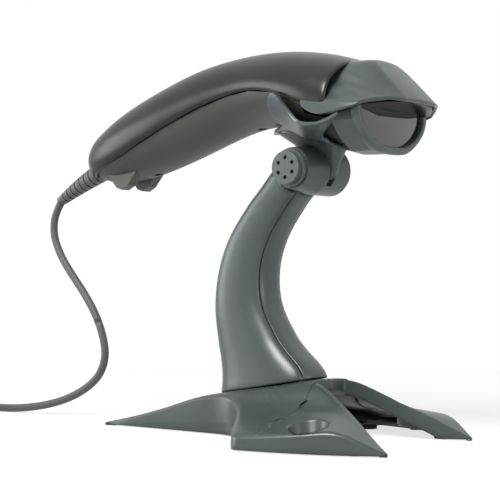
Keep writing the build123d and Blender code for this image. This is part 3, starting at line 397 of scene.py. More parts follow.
@dataclass(frozen=True)
class WorkedMetal:
    """Metal with fine drawn lines, scratches and a slight tarnish."""

    name: str
    colour: Colour
    roughness: float = 0.28
    lines: Point = (1.0, 1.0, 14.0)
    line_scale: float = 700.0
    line_height: float = 0.00002
    tarnish_scale: float = 220.0

    def make(self) -> bpy.types.Material:
        """Builds the material.

        Returns:
            The material.
        """
        t = Tree(self.name)
        at = t.coords()
        drawn = t.noise(t.scaled(at, self.lines), self.line_scale, 4.0, 0.7)
        tarnish = t.ramp(t.noise(at, self.tarnish_scale, 4.0, 0.6), (0.42, 0.0), (0.8, 1.0))
        return t.principled(
            Base_Color=t.mixed(tarnish * 0.5, self.colour, shade(self.colour, 0.55)),
            Metallic=1.0 - tarnish * 0.15,
            Roughness=self.roughness + (drawn - 0.5) * 0.2 + tarnish * 0.15,
            Normal=t.bump(drawn, 0.25, self.line_height),
        )


@dataclass(frozen=True)
class CircuitBoard:
    """Green solder mask over tracks, with pads and via rings."""

    name: str
    colour: Colour
    track_scale: float = 160.0
    via_scale: float = 330.0
    relief: float = 0.00006

    def make(self) -> bpy.types.Material:
        """Builds the material.

        Returns:
            The material.
        """
        t = Tree(self.name)
        at = t.coords()
        bricks = {
            "Vector": at,
            "Scale": self.track_scale,
            "Mortar Size": 0.06,
            "Brick Width": 0.6,
            "Row Height": 0.2,
            "Color1": (0, 0, 0, 1),
            "Color2": (0, 0, 0, 1),
            "Mortar": WHITE,
        }
        tracks = t.add(Kind.BRICK, {"offset": 0.5, "squash": 1.0}, bricks, "Color")
        vias = t.ramp(t.cells(at, self.via_scale), (0.1, 1.0), (0.14, 0.0))
        base = t.mixed(tracks * 0.45, self.colour, shade(self.colour, 2.2))
        return t.principled(
            Base_Color=t.mixed(vias, base, linear(196, 178, 120)),
            Metallic=vias * 0.9,
            Roughness=0.32 + t.noise(at, 500.0) * 0.15,
            Normal=t.bump(tracks + vias, 0.4, self.relief),
        )


@dataclass(frozen=True)
class WhiteStudio:
    """Pale floor: it keeps the object's shadow and fades to plain white further out."""

    name: str
    near: float = 0.22
    far: float = 0.72
    near_share: float = 0.5

    def make(self) -> bpy.types.Material:
        """Builds the material.

        Returns:
            The material.
        """
        t = Tree(self.name)
        at = t.coords()
        mottle = t.noise(at, 6.0, 3.0, 0.5)
        base = t.mixed(mottle * 0.04, linear(252, 252, 252), linear(244, 244, 244))
        matte = t.add(Kind.PRINCIPLED, {}, {"Base Color": base, "Roughness": 0.85}, "BSDF")
        glow = t.add(Kind.EMISSION, {}, {"Color": WHITE, "Strength": 1.0})
        away = t.add(Kind.VECTOR_MATH, {"operation": "LENGTH"}, {0: at}, "Value")
        share = t.ramp(away, (self.near, self.far), (self.near_share, 1.0))
        shown = t.backdrop_rays() * share
        return t.close(t.add(Kind.MIX_SHADER, {}, {0: shown, 1: matte, 2: glow}))


METALS = (
    WorkedMetal("steel", linear(176, 178, 180)),
    WorkedMetal("brass", linear(196, 160, 92)),
    WorkedMetal("mirror", linear(226, 228, 230), roughness=0.05, lines=(1.0, 1.0, 1.0)),
    WorkedMetal("plug_metal", linear(188, 190, 190), roughness=0.24, lines=(1.0, 12.0, 12.0)),
)
PLASTICS = (
    # the fleck settings below set the strength of the painted glints in each plastic
    MouldedPlastic("stand_plastic", linear(50, 58, 58), roughness=0.34, glint_share=0.3),
    MouldedPlastic("knob_plastic", linear(62, 67, 67), glint_share=0.6, grain=1900.0),
    MouldedPlastic("black_plastic", linear(20, 21, 19), roughness=0.33, glint_share=0.10, specular=0.32),
    MouldedPlastic("olive_plastic", linear(44, 47, 41), roughness=0.48, glint_share=0.12),
    MouldedPlastic("spine_plastic", linear(62, 71, 70), glint_share=0.2),
    MouldedPlastic("nose_plastic", linear(60, 69, 65), glint_share=0.22),
)
RUBBERS = (
    SoftRubber("rubber", linear(38, 39, 38)),
    SoftRubber("fin_rubber", linear(54, 56, 46), roughness=0.6),
    SoftRubber("cord_rubber", linear(62, 63, 60), roughness=0.55, bloom=0.15),
)
OTHERS = (
    DarkWindow("window_glass", linear(14, 17, 14)),
    ClearPlastic("clear_plastic", linear(214, 222, 220)),
    CircuitBoard("board", linear(24, 78, 46)),
)
FINISHES = {finish.name: finish for finish in PLASTICS + RUBBERS + OTHERS + METALS}


class Paints:
    """Makes each finish once and hands it out by slot name."""

    def __init__(self) -> None:
        """Starts with no material made."""
        self.made: dict[str, bpy.types.Material] = {}

    def get(self, slot: str) -> bpy.types.Material:
        """The material of a slot.

        Args:
            slot: the slot's name.

        Returns:
            The material, made on first use.
        """
        if slot not in self.made:
            self.made[slot] = FINISHES[slot].make()
        return self.made[slot]

    def dress_frame(self) -> None:
        """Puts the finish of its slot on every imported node."""
        slots = {row["slot"] for row in frame["record"]["materials"]}
        for name, node in frame["nodes"].items():
            for holder in node.material_slots:
                named = holder.material.name.split(".")[0] if holder.material else ""
                slot = named if named in slots else self.slot_of(name)
                holder.material = self.get(slot)

    def slot_of(self, node: str) -> str:
        """The record's slot for a node.

        Args:
            node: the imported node's name.

        Returns:
            The slot's name.
        """
        for row in frame["record"]["materials"]:
            if node in row.get("nodes", []):
                return row["slot"]
        return "stand_plastic"


PAINTS = Paints()


# ---------------------------------------------------------------- mesh kit


def interpolated(stations: Sequence[Sequence[float]], at: float) -> list[float]:
    """Smooth values between stations.

    Args:
        stations: rows whose first number is the place, in rising order.
        at: the place wanted.

    Returns:
        The other numbers of a row at that place.
    """
    places = [row[0] for row in stations]
    last = len(stations) - 1
    i = min(max(bisect_right(places, at) - 1, 0), last - 1)
    a, b = stations[i], stations[i + 1]
    before, after = stations[max(i - 1, 0)], stations[min(i + 2, last)]
    span = b[0] - a[0]
    t = min(max((at - a[0]) / span, 0.0), 1.0)
    out = []
    for k in range(1, len(a)):
        slope_a = (b[k] - before[k]) / max(b[0] - before[0], 1e-9) * span
        slope_b = (after[k] - a[k]) / max(after[0] - a[0], 1e-9) * span
        h = 2 * t**3 - 3 * t**2 + 1, t**3 - 2 * t**2 + t, -2 * t**3 + 3 * t**2, t**3 - t**2
        out.append(h[0] * a[k] + h[1] * slope_a + h[2] * b[k] + h[3] * slope_b)
    return out


def spread(first: float, last: float, count: int) -> list[float]:
    """Evenly spaced numbers, both ends included."""
    return [first + (last - first) * i / (count - 1) for i in range(count)]


def mm(x: float, y: float, z: float) -> Vector:
    """A point in metres from its millimetres."""
    return Vector((x, y, z)) * MM


def round_turn(count: int) -> list[float]:
    """Evenly spaced angles of one turn."""
    return [2 * math.pi * k / count for k in range(count)]


def bent(value: float, power: float) -> float:
    """A cosine or sine raised to a power with its sign kept, for rounded rectangles."""
    return math.copysign(abs(value) ** power, value)


def mesh_piece(
    name: str, points: Sequence[Vector], faces: Sequence[Sequence[int]], slot: str
) -> bpy.types.Object:
    """Makes a smooth-shaded mesh object in its finish.

    Args:
        name: the piece's name.
        points: its corners, in metres.
        faces: lists of corner numbers.
        slot: the record's slot for its finish.

    Returns:
        The object.
    """
    mesh = bpy.data.meshes.new(name)
    mesh.from_pydata([tuple(p) for p in points], [], faces)
    mesh.validate()
    mesh.update()
    piece = bpy.data.objects.new(name, mesh)
    bpy.context.scene.collection.objects.link(piece)
    mesh.materials.append(PAINTS.get(slot))
    for face in mesh.polygons:
        face.use_smooth = True
    return piece


def skin(rings: Sequence[Ring], closed: bool, caps: bool = False) -> Skin:
    """Joins rings of equal length with quads.

    Args:
        rings: rows of points.
        closed: whether each ring joins back to its start.
        caps: whether the first and last rings are filled.

    Returns:
        Points and faces.
    """
    points = [p for ring in rings for p in ring]
    n = len(rings[0])
    faces = []
    for i in range(len(rings) - 1):
        for j in range(n if closed else n - 1):
            k = (j + 1) % n
            faces.append([i * n + j, i * n + k, (i + 1) * n + k, (i + 1) * n + j])
    if caps:
        faces.append(list(range(n))[::-1])
        faces.append([(len(rings) - 1) * n + j for j in range(n)])
    return points, faces


def modifier(piece: bpy.types.Object, kind: str, **settings: Any) -> None:
    """Adds a modifier with its settings.

    Args:
        piece: the mesh object.
        kind: the modifier's type.
        settings: its settings by name.
    """
    added = piece.modifiers.new(kind.lower(), kind)
    for key, value in settings.items():
        setattr(added, key, value)


def baked(piece: bpy.types.Object) -> bpy.types.Object:
    """Applies the modifiers of a piece to its mesh.

    Args:
        piece: the mesh object.

    Returns:
        The same object.
    """
    graph = bpy.context.evaluated_depsgraph_get()
    mesh = bpy.data.meshes.new_from_object(piece.evaluated_get(graph))
    piece.modifiers.clear()
    piece.data = mesh
    return piece


def carved(piece: bpy.types.Object, tools: Sequence[Sequence[Ring]]) -> None:
    """Applies the modifiers of a piece and cuts closed shapes out of it.

    Args:
        piece: the mesh object.
        tools: the rings of each shape.
    """
    cutters = []
    for rings in tools:
        cutter = mesh_piece("cutter", *skin(rings, closed=True, caps=True), "stand_plastic")
        modifier(piece, "BOOLEAN", operation="DIFFERENCE", object=cutter, solver="EXACT")
        cutters.append(cutter)
    baked(piece)
    for cutter in cutters:
        bpy.data.objects.remove(cutter)


def creased(piece: bpy.types.Object, sharp: Callable[[Vector, Vector], float]) -> None:
    """Sets how sharp each edge stays under subdivision.

    Args:
        piece: the mesh object.
        sharp: from an edge's two ends to its crease, 0 to 1.
    """
    mesh = piece.data
    layer = mesh.attributes.new("crease_edge", "FLOAT", "EDGE")
    for edge in mesh.edges:
        a, b = (mesh.vertices[i].co for i in edge.vertices)
        layer.data[edge.index].value = sharp(a, b)


# ---------------------------------------------------------------- cord


@dataclass
class Cord:
    """The cord: its fall from the boot, its run on the surface, its coil and its way to the plug."""

    radius: float = 2.15 * MM
    sides: int = 12
    coil_centre: tuple[float, float] = (-224.0 * MM, -48.0 * MM)
    coil_outer: float = 30.6 * MM
    pitch: float = 4.4 * MM
    layer: float = 4.3 * MM
    floor_z: float = 2.3 * MM
    step_share: float = 0.2
    points_per_turn: int = 20
    start_angle: int = 90
    last_angles: range = range(90, 256, 18)
    cut_height: float = 52.0 * MM
    landed_height: float = 9.0 * MM

    def fall(self) -> Ring:
        """Control points from the boot to the coil.

        Returns:
            The points, in metres.
        """
        route = [
            (-158.7, 0, 119.1), (-163.2, 0, 113.3), (-165.4, 0, 105.0), (-163.5, 0, 95.5),
            (-155.5, 0, 83.4), (-139.5, 0, 67.0), (-130.2, 0, 54.6), (-125.2, 0, 43.6),
            (-123.2, 0, 33.6), (-126.6, -0.6, 23.4), (-136.0, -2.0, 15.2), (-149.0, -5.0, 8.6),
            (-164.0, -9.5, 4.4), (-181.0, -14.5, 2.3), (-202.0, -17.2, 2.3),
        ]
        return [Vector(p) * MM for p in route]

    def coil(self) -> Ring:
        """Control points of the coil's turns, wound inwards, outwards, and outwards again on top.

        Returns:
            The points, in metres.
        """
        radii = [self.coil_outer - self.pitch * k for k in range(4)]
        turns = [(r, 0) for r in radii] + [(r, 1) for r in radii[::-1]]
        turns += [(r, 2) for r in (radii[2], radii[1], radii[0])]
        points = []
        for i, (radius, level) in enumerate(turns[:-1]):
            after, above = turns[i + 1]
            for j in range(self.points_per_turn):
                share = j / self.points_per_turn
                step = min(max((share - 1 + self.step_share) / self.step_share, 0.0), 1.0)
                step = step * step * (3 - 2 * step)
                height = self.floor_z + self.layer * (level + (above - level) * step)
                angle = self.start_angle + 360 * share
                points.append(self.on_coil(radius + (after - radius) * step, angle, height))
        last_radius, level = turns[-1]
        height = self.floor_z + self.layer * level
        return points + [self.on_coil(last_radius, angle, height) for angle in self.last_angles]

    def on_coil(self, radius: float, angle: float, height: float) -> Vector:
        """A point on a turn, by its angle in degrees from +X.

        Args:
            radius: the turn's radius.
            angle: the angle in degrees.
            height: the height.

        Returns:
            The point, in metres.
        """
        a = math.radians(angle)
        cx, cy = self.coil_centre
        return Vector((cx + radius * math.cos(a), cy + radius * math.sin(a), height))

    def to_plug(self) -> Ring:
        """Control points from the coil down to the plug's own sleeve.

        Returns:
            The points, in metres.
        """
        way = [
            (-224.0, -80.0, 10.9), (-213.5, -80.8, 9.4), (-206.0, -78.4, 6.8),
            (-200.0, -74.6, 4.8), (-195.0, -72.4, 4.1), (-189.0, -72.0, 4.0),
        ]
        return [Vector(p) * MM for p in way]

    def line(self) -> Ring:
        """Points of the smooth spline that the whole route controls.

        Returns:
            The points, in metres.
        """
        route = self.fall() + self.coil() + self.to_plug()
        curve = bpy.data.curves.new("cord_route", "CURVE")
        curve.dimensions = "3D"
        curve.resolution_u = 5
        spline = curve.splines.new("NURBS")
        spline.points.add(len(route) - 1)
        for knot, place in zip(spline.points, route):
            knot.co = (*place, 1.0)
        spline.order_u = 3
        spline.use_endpoint_u = True
        holder = bpy.data.objects.new("cord_route", curve)
        bpy.context.scene.collection.objects.link(holder)
        mesh = bpy.data.meshes.new_from_object(holder)
        line = [v.co.copy() for v in mesh.vertices]
        bpy.data.objects.remove(holder)
        bpy.data.meshes.remove(mesh)
        return line

    def tube(self, name: str, line: Ring) -> bpy.types.Object:
        """A closed tube round a line, its rings turned as little as possible.

        Args:
            name: the piece's name.
            line: the centre of each ring.

        Returns:
            The mesh object.
        """
        rings = []
        side = Vector((0, 1, 0))
        for i, centre in enumerate(line):
            along = (line[min(i + 1, len(line) - 1)] - line[max(i - 1, 0)]).normalized()
            side = (side - along * side.dot(along)).normalized()
            other = along.cross(side)
            turn = round_turn(self.sides)
            rings.append([centre + (side * math.cos(a) + other * math.sin(a)) * self.radius for a in turn])
        return mesh_piece(name, *skin(rings, closed=True, caps=True), "cord_rubber")

    def build(self) -> None:
        """Makes the lead at the boot and the long run."""
        line = self.line()
        cut = next(i for i, p in enumerate(line) if p.z < self.cut_height)
        lead, run = line[: cut + 1], line[cut:]
        landed = next(p for p in run if p.z < self.landed_height)
        first = self.tube("cord_lead", lead)
        tuple(lead[0])
        tuple(lead[-1])
        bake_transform(first)
        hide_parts("cable")
        tuple(lead[0])
        self.length(lead)
        [tuple(p) for p in lead]
        second = self.tube("cord_run", run)
        tuple(run[0])
        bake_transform(second)
        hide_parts("cable", "cable_coil", "cable_tail")
        tuple(run[0])
        self.length(run)
        [tuple(p) for p in run]
        LOG.info("cord: lead %.3f m, run %.3f m", self.length(lead), self.length(run))

    def length(self, line: Ring) -> float:
        """Length of a line in metres."""
        return sum((b - a).length for a, b in zip(line, line[1:]))


# ---------------------------------------------------------------- handle


@dataclass
class Handle:
    """The scanner's upper handle shell, lofted along its length and ending at the seam."""

    wall: float = 2.0
    seam: float = 0.25
    tuck: float = 0.35
    front: float = 47.0
    crowding: float = 1.25
    steepest: float = 0.97
    rows: int = 64
    around: int = 28
    stations: Rows = (
        (-127.4, 134.0, 144.6, 4.5),
        (-126.4, 132.2, 146.8, 7.2),
        (-124.5, 130.5, 148.6, 9.8),
        (-117.0, 128.2, 153.8, 14.5),
        (-100.0, 127.6, 162.9, 18.5),
        (-75.0, 132.8, 172.4, 20.5),
        (-45.0, 141.8, 180.8, 21.0),
        (-15.0, 149.6, 184.0, 22.5),
        (10.0, 148.0, 183.3, 27.0),
        (31.0, 141.5, 179.8, 30.6),
        (47.0, 137.0, 175.0, 31.4),
    )
    split: Rows = (
        (-128, 130), (-95, 139.5), (-78, 146), (-58, 153.5), (-38, 160),
        (-20, 164), (-4, 165.3), (12, 163), (31, 156.5), (47, 150.0),
    )

    def section(self, x: float) -> Point:
        """Middle height, half height and half width of the handle at a place, in millimetres."""
        low, high, half = interpolated(self.stations, x)
        return (low + high) / 2, (high - low) / 2, half

    def angle_at(self, x: float, height: float) -> float:
        """The angle round the section at which the surface has a height."""
        middle, tall, _ = self.section(x)
        return math.asin(max(-self.steepest, min(self.steepest, (height - middle) / tall)))

    def surface(self, x: float, angle: float, out: float) -> Vector:
        """A point on the handle's outside, in metres.

        Args:
            x: its place, in millimetres.
            angle: its angle round the section, from the far side.
            out: how far it stands off the surface, in millimetres.

        Returns:
            The point.
        """
        middle, tall, half = self.section(x)
        return mm(x, (half + out) * math.cos(angle), middle + (tall + out) * math.sin(angle))

    def build(self) -> None:
        """Makes the upper shell."""
        rear = self.stations[0][0]
        rings = []
        for share in spread(0, 1, self.rows):
            x = rear + (self.front - rear) * share**self.crowding
            start = self.angle_at(x, interpolated(self.split, x)[0] + self.seam / 2)
            ring = [self.surface(x, angle, 0.0) for angle in spread(start, math.pi - start, self.around)]
            ring[0] = self.surface(x, start, -self.tuck)
            ring[-1] = self.surface(x, math.pi - start, -self.tuck)
            rings.append(ring)
        points, faces = skin(rings, closed=False)
        piece = mesh_piece("upper_shell", points, [f[::-1] for f in faces], "black_plastic")
        modifier(piece, "SOLIDIFY", thickness=self.wall * MM, offset=-1.0)
        modifier(piece, "SUBSURF", levels=1, render_levels=1)
        baked(piece)
        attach(piece, "scanner")
        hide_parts("handle_upper_shell")
        LOG.info("handle: upper shell")


@dataclass
class Hood:
    """The sculpted hood over the window: a flat brow plate in front and fluted cheeks at its sides.

    Its feature lines run from the rear to the front. They are listed from the middle to the lower edge.
    """

    wall: float = 1.7
    levels: int = 3
    middle: Rows = (
        (45.5, 0, 175.9), (50, 0, 174.9), (54, 0, 174.9), (57.2, 0, 174.6), (66, 0, 166.3), (77, 0, 155.0),
    )
    brow: Rows = (
        (43.8, 10.5, 175.4), (49, 11, 174.5), (53.5, 11.3, 174.7),
        (56.7, 11.5, 174.3), (65.2, 12, 166.2), (76, 12.5, 154.7),
    )
    facet: Rows = (
        (42.6, 14.2, 173.2), (47.5, 14.5, 171.5), (53, 15, 170.7),
        (58, 15.2, 168.4), (65.5, 15.6, 162.8), (74.6, 16, 154.9),
    )
    crest: Rows = (
        (40.8, 18.2, 170.9), (46, 18.2, 169.0), (51, 18.4, 167.5),
        (57, 18.8, 164.6), (64.5, 19.5, 160.2), (72.6, 20, 155.0),
    )
    flute: Rows = (
        (38.8, 21.6, 166.9), (44, 21.4, 164.7), (49, 21.6, 162.9),
        (55, 21.8, 160.6), (63, 22.6, 157.6), (71, 23, 154.4),
    )
    ridge: Rows = (
        (36.8, 24.9, 164.6), (42, 25.2, 163.1), (47, 25.6, 161.7),
        (53, 26.1, 159.9), (61, 26.3, 157.1), (69, 26, 154.2),
    )
    hollow: Rows = (
        (35, 27.4, 160.9), (40, 27.6, 159.0), (45, 27.9, 157.5),
        (51, 28.5, 155.9), (59, 28.9, 154.5), (66.6, 28.5, 153.4),
    )
    cheek: Rows = (
        (33.6, 30.0, 158.3), (38, 30.8, 157.1), (43, 31.4, 155.9),
        (49, 31.8, 154.7), (57, 31.7, 153.7), (64, 30.6, 152.8),
    )
    edge: Rows = (
        (32.4, 31.3, 154.6), (37, 32.3, 151.4), (43, 33, 149.0),
        (49, 33.2, 149.1), (56.5, 32.4, 150.9), (63.5, 31, 152.1),
    )
    plate_band: tuple[float, float, float] = (11.0, 13.0, 0.75)
    plate_rear: float = 55.0
    fold_band: tuple[float, float, float] = (56.0, 58.0, 0.7)
    crest_band: tuple[float, float, float] = (18.0, 20.5, 0.45)

    def sharp(self, a: Vector, b: Vector) -> float:
        """How sharp an edge of the cage is: the plate's side, the fold above it, and the crest.

        Args:
            a: one end of the edge.
            b: its other end.

        Returns:
            The crease, 0 to 1.
        """
        breadths = [abs(p.y) / MM for p in (a, b)]
        places = [p.x / MM for p in (a, b)]
        if min(places) > self.plate_rear and self.within(self.plate_band, breadths):
            return self.plate_band[2]
        across = abs(breadths[0] - breadths[1]) > 5 or min(breadths) < 1
        if across and self.within(self.fold_band, places):
            return self.fold_band[2]
        return self.crest_band[2] if self.within(self.crest_band, breadths) else 0.0

    def within(self, band: tuple[float, float, float], places: Sequence[float]) -> bool:
        """Whether both places lie inside a band."""
        return all(band[0] < place < band[1] for place in places)

    def build(self) -> None:
        """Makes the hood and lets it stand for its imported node."""
        half = [
            self.middle, self.brow, self.facet, self.crest, self.flute,
            self.ridge, self.hollow, self.cheek, self.edge,
        ]
        columns = [[(x, -y, z) for x, y, z in line] for line in half[:0:-1]] + half
        rings = [[mm(*line[row]) for line in columns] for row in range(len(self.middle))]
        piece = mesh_piece("hood", *skin(rings, closed=False), "stand_plastic")
        creased(piece, self.sharp)
        modifier(piece, "SUBSURF", levels=self.levels, render_levels=self.levels)
        modifier(piece, "SOLIDIFY", thickness=self.wall * MM, offset=-1.0)
        modifier(piece, "BEVEL", width=0.3 * MM, segments=2, limit_method="ANGLE", angle_limit=1.0)
        baked(piece)
        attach(piece, "scanner")
        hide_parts("head_hood")
        LOG.info("hood: fluted cheeks and brow plate")


# ---------------------------------------------------------------- nose


@dataclass
class Nose:
    """The window's frame, the dark window in it and the liner that closes the hood above them."""

    hood: Hood
    front: float = 62.7
    pane: float = 60.4
    rebate: float = 0.8
    dome: float = 0.9
    middle_height: float = 147.0
    rows: int = 14
    steps: int = 26
    reach: float = 30.0
    frame_steps: tuple[tuple[str, float, float], ...] = (
        ("outer", 4.6, 0.5), ("outer", 3.2, 0.0), ("outer", 0.7, 0.0), ("outer", 0.1, 0.5),
        ("inner", 0.0, -0.9), ("inner", 0.4, -0.2), ("inner", 1.4, 0.0),
    )
    liner_front: tuple[Point, ...] = ((70.0, 22.0, 153.0), (75.6, 12.0, 153.9))
    liner_share: float = 0.985
    liner_lift: tuple[float, float] = (1.3, 1.5)
    outer: Rows = (
        (29.2, 153.2), (28.7, 149.4), (26.6, 144.6), (20.6, 138.7), (11.2, 133.6), (0.0, 132.7),
    )
    inner: Rows = (
        (26.3, 153.2), (25.7, 149.6), (23.6, 145.6), (18.0, 140.6), (9.6, 137.0), (0.0, 136.4),
    )

    def outline(self, half: Rows, x: float, shrink: float = 0.0) -> Ring:
        """A full outline from a half one, smoothed, at a place along X.

        Args:
            half: breadth and height from the top corner to the lowest middle.
            x: the outline's place, in millimetres.
            shrink: how far it is pulled in towards the window's middle.

        Returns:
            Points from one top corner, round the bottom, to the other.
        """
        rows = [(float(i), y, z) for i, (y, z) in enumerate(half)]
        side = []
        for at in spread(0, len(half) - 1, self.steps):
            y, z = interpolated(rows, at)
            side.append((max(y - shrink, 0.0), z + shrink * (1 - y / self.reach)))
        return [mm(x, y, z) for y, z in side[:-1]] + [mm(x, -y, z) for y, z in side[::-1]]

    def bezel(self) -> None:
        """The rounded frame round the window."""
        halves = {"outer": self.outer, "inner": self.inner}
        rings = [self.outline(halves[which], self.front - back, by) for which, back, by in self.frame_steps]
        rings.append(self.outline(self.inner, self.pane - self.rebate))
        piece = mesh_piece("bezel", *skin(rings, closed=False), "nose_plastic")
        modifier(piece, "SUBSURF", levels=1, render_levels=1)
        baked(piece)
        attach(piece, "scanner")
        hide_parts("window_bezel", "window_seal")

    def window(self) -> None:
        """The window, slightly domed."""
        edge = self.outline(self.inner, self.pane, -0.15)
        centre = mm(self.pane, 0, self.middle_height)
        rings = []
        for share in spread(0.02, 1.0, self.rows):
            lift = mm(self.dome * (1 - share * share), 0, 0)
            rings.append([centre.lerp(p, share) + lift for p in edge])
        points, faces = skin(rings, closed=True)
        piece = mesh_piece("dark_window", points, [f[::-1] for f in faces], "window_glass")
        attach(piece, "scanner")
        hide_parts("scan_window")

    def build(self) -> None:
        """Makes the frame, the window and the liner that follows the hood's lower edge."""
        self.bezel()
        self.window()
        low, arch = self.liner_lift
        shares = spread(-self.liner_share, self.liner_share, 15)
        edge = self.hood.edge[1:] + self.liner_front
        rings = [[mm(x, y * f, z + low + arch * (1 - f * f)) for f in shares] for x, y, z in edge]
        liner = mesh_piece("hood_liner", *skin(rings, closed=False), "black_plastic")
        modifier(liner, "SOLIDIFY", thickness=1.0 * MM, offset=1.0)
        modifier(liner, "SUBSURF", levels=1, render_levels=1)
        baked(liner)
        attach(liner, "scanner")
        LOG.info("nose: bezel, window and liner")


# ---------------------------------------------------------------- base


@dataclass
class Base:
    """The sculpted foot: two slim rear legs and two broad front wings flowing down from the arm."""

    rim: float = 0.6
    wall: float = 2.0
    lip: float = 8.0
    ease: float = 0.35
    lip_ease: float = 0.6
    flare: float = 0.5
    rear_x: float = -98.0
    notch_x: float = -62.0
    notch: tuple[float, float] = (24.6, 0.85)
    front_wall_x: float = 27.0
    front_x: float = 82.0
    front_wall_half: float = 12.0
    recess: tuple[float, float] = (24.0, 1.15)
    blend_radius: float = 5.0
    least_height: float = 0.8
    least_breadth: float = 0.2
    wall_drop: float = 1.0
    wall_bow: tuple[float, float] = (0.15, 0.35)
    across: int = 16
    pocket: Point = (46.0, 44.0, 9.0)
    pocket_floor: float = 4.0
    pocket_hole: float = 2.25
    pocket_steps: int = 48
    cut_heights: tuple[float, float] = (2.6, 60.0)
    outline: Rows = (
        (-98, 25.0), (-78, 23.6), (-58, 22.4), (-38, 21.6), (-24, 21.2), (-15, 23.4),
        (-6, 30.0), (4, 43.0), (13, 57.0), (17.2, 60.4), (20, 60.4), (32, 58.0),
        (45, 54.4), (56, 50.6), (66, 46.2), (75, 41.0), (82, 36.2),
    )
    crest: Rows = (
        (-98, 1.5), (-80, 5.6), (-64, 9.9), (-48, 14.8), (-36, 18.3), (-16, 22.0), (4, 25.5), (24, 28.9),
        (30, 28.2), (38, 25.2), (47, 20.8), (58, 14.4), (70, 7.6), (82, 1.5),
    )
    fall: Rows = (
        (0, 31.0), (13, 29.0), (18, 23.5), (23, 18.0), (29, 14.8), (38, 12.7), (48, 10.6), (60.5, 6.6),
    )

    def top(self, x: float, y: float) -> float:
        """Height of the upper surface: the lower of two profiles, blended where they meet.

        Args:
            x: place along the base, in millimetres.
            y: breadth, in millimetres.

        Returns:
            The height, in millimetres.
        """
        a = interpolated(self.crest, x)[0]
        b = interpolated(self.fall, abs(y))[0]
        k = self.blend_radius
        h = max(k - abs(a - b), 0.0) / k
        return max(min(a, b) - h * h * k / 4, self.rim + self.least_height)

    def inner(self, x: float) -> float:
        """Breadth at which a leg's inner edge lies, in millimetres.

        Args:
            x: place along the base, in millimetres.

        Returns:
            The breadth.
        """
        if x < self.notch_x:
            half, power = self.notch
            return half * ((self.notch_x - x) / (self.notch_x - self.rear_x)) ** power
        if x > self.front_wall_x:
            spreads, power = self.recess
            share = (x - self.front_wall_x) / (self.front_x - self.front_wall_x)
            return self.front_wall_half + spreads * share**power
        return 0.0

    def row(self, x: float, start: float, side: int) -> Ring:
        """One row across a half: inner lip, upper surface and outer wall.

        Args:
            x: the row's place, in millimetres.
            start: breadth of its inner end.
            side: 1 for the left half and -1 for the right.

        Returns:
            The row's points, in metres.
        """
        end = max(interpolated(self.outline, x)[0], start + self.least_breadth)
        first = self.top(x, start)
        points = [(0.0, first)] * 3
        if start > 0 or x >= self.front_wall_x:
            low, high = max(first - self.lip, self.rim), first - self.lip_ease
            points = [(start + self.least_breadth, low), (start, (low + high) / 2), (start, high)]
        for share in spread(0, 1, self.across):
            y = start + (end - start) * share
            ease = self.ease if share in (0, 1) else 0.0
            points.append((y, max(self.top(x, y) - ease, self.rim)))
        wall_top = points[-1][1]
        out, share = self.wall_bow
        points.append((end + out, max(wall_top - self.wall_drop, self.rim)))
        points.append((end + self.flare, self.rim + (wall_top - self.rim) * share))
        points.append((end + self.flare, self.rim))
        return [mm(x, side * y, z) for y, z in points]

    def half(self, side: int) -> Skin:
        """Rows of one half joined up.

        Args:
            side: 1 for the left half and -1 for the right.

        Returns:
            Points and faces.
        """
        places = spread(self.rear_x, self.notch_x, 14) + spread(self.notch_x + 2, self.front_wall_x - 1, 40)
        rings = [self.row(x, self.inner(x), side) for x in places]
        rings += [self.row(self.front_wall_x, y, side) for y in spread(0, self.front_wall_half, 6)]
        rings += [self.row(x, self.inner(x), side) for x in spread(self.front_wall_x + 1, self.front_x, 30)]
        points, faces = skin(rings, closed=False)
        return points, faces if side > 0 else [f[::-1] for f in faces]

    def pocket_levels(self) -> list[tuple[float, float | None]]:
        """Radius and height of each ring of a pocket, without a height where it follows the surface.

        Returns:
            Pairs of radius and height, in millimetres.
        """
        radius, hole, floor = self.pocket[2], self.pocket_hole, self.pocket_floor
        return [
            (radius + 0.1, None), (radius - 0.25, None), (radius - 0.5, floor + 0.8),
            (radius - 1.2, floor), (hole + 0.3, floor), (hole, floor - 0.3), (hole, floor - 2),
        ]

    def pockets(self) -> None:
        """The two round screw pockets, their rims cut to the surface."""
        cx, cy, _ = self.pocket
        all_points, all_faces = [], []
        for side in (1, -1):
            rings = []
            for i, (r, z) in enumerate(self.pocket_levels()):
                ring = []
                for a in round_turn(self.pocket_steps):
                    x, y = cx + r * math.cos(a), cy + r * math.sin(a)
                    height = self.top(x, y) - 0.35 * i if z is None else min(z, self.top(x, y) - 0.4)
                    ring.append(mm(x, side * y, height))
                rings.append(ring)
            points, faces = skin(rings, closed=True)
            offset = len(all_points)
            all_points += points
            all_faces += [[i + offset for i in (f if side < 0 else f[::-1])] for f in faces]
        piece = mesh_piece("base_pockets", all_points, all_faces, "stand_plastic")
        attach(piece, "stand")

    def build(self) -> None:
        """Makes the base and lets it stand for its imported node."""
        left, left_faces = self.half(1)
        right, right_faces = self.half(-1)
        faces = left_faces + [[i + len(left) for i in f] for f in right_faces]
        shell = mesh_piece("base", left + right, [f[::-1] for f in faces], "stand_plastic")
        modifier(shell, "WELD", merge_threshold=0.02 * MM)
        modifier(shell, "SOLIDIFY", thickness=self.wall * MM, offset=-1.0)
        cx, cy, radius = self.pocket
        turn = round_turn(self.pocket_steps)
        carved(shell, [
            [[mm(cx + radius * math.cos(a), side * cy + radius * math.sin(a), z) for a in turn]
             for z in self.cut_heights]
            for side in (1, -1)
        ])
        for face in shell.data.polygons:
            face.use_smooth = True
        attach(shell, "stand")
        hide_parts("base_shell")
        self.pockets()
        LOG.info("base: shell and pockets")


# ---------------------------------------------------------------- arm


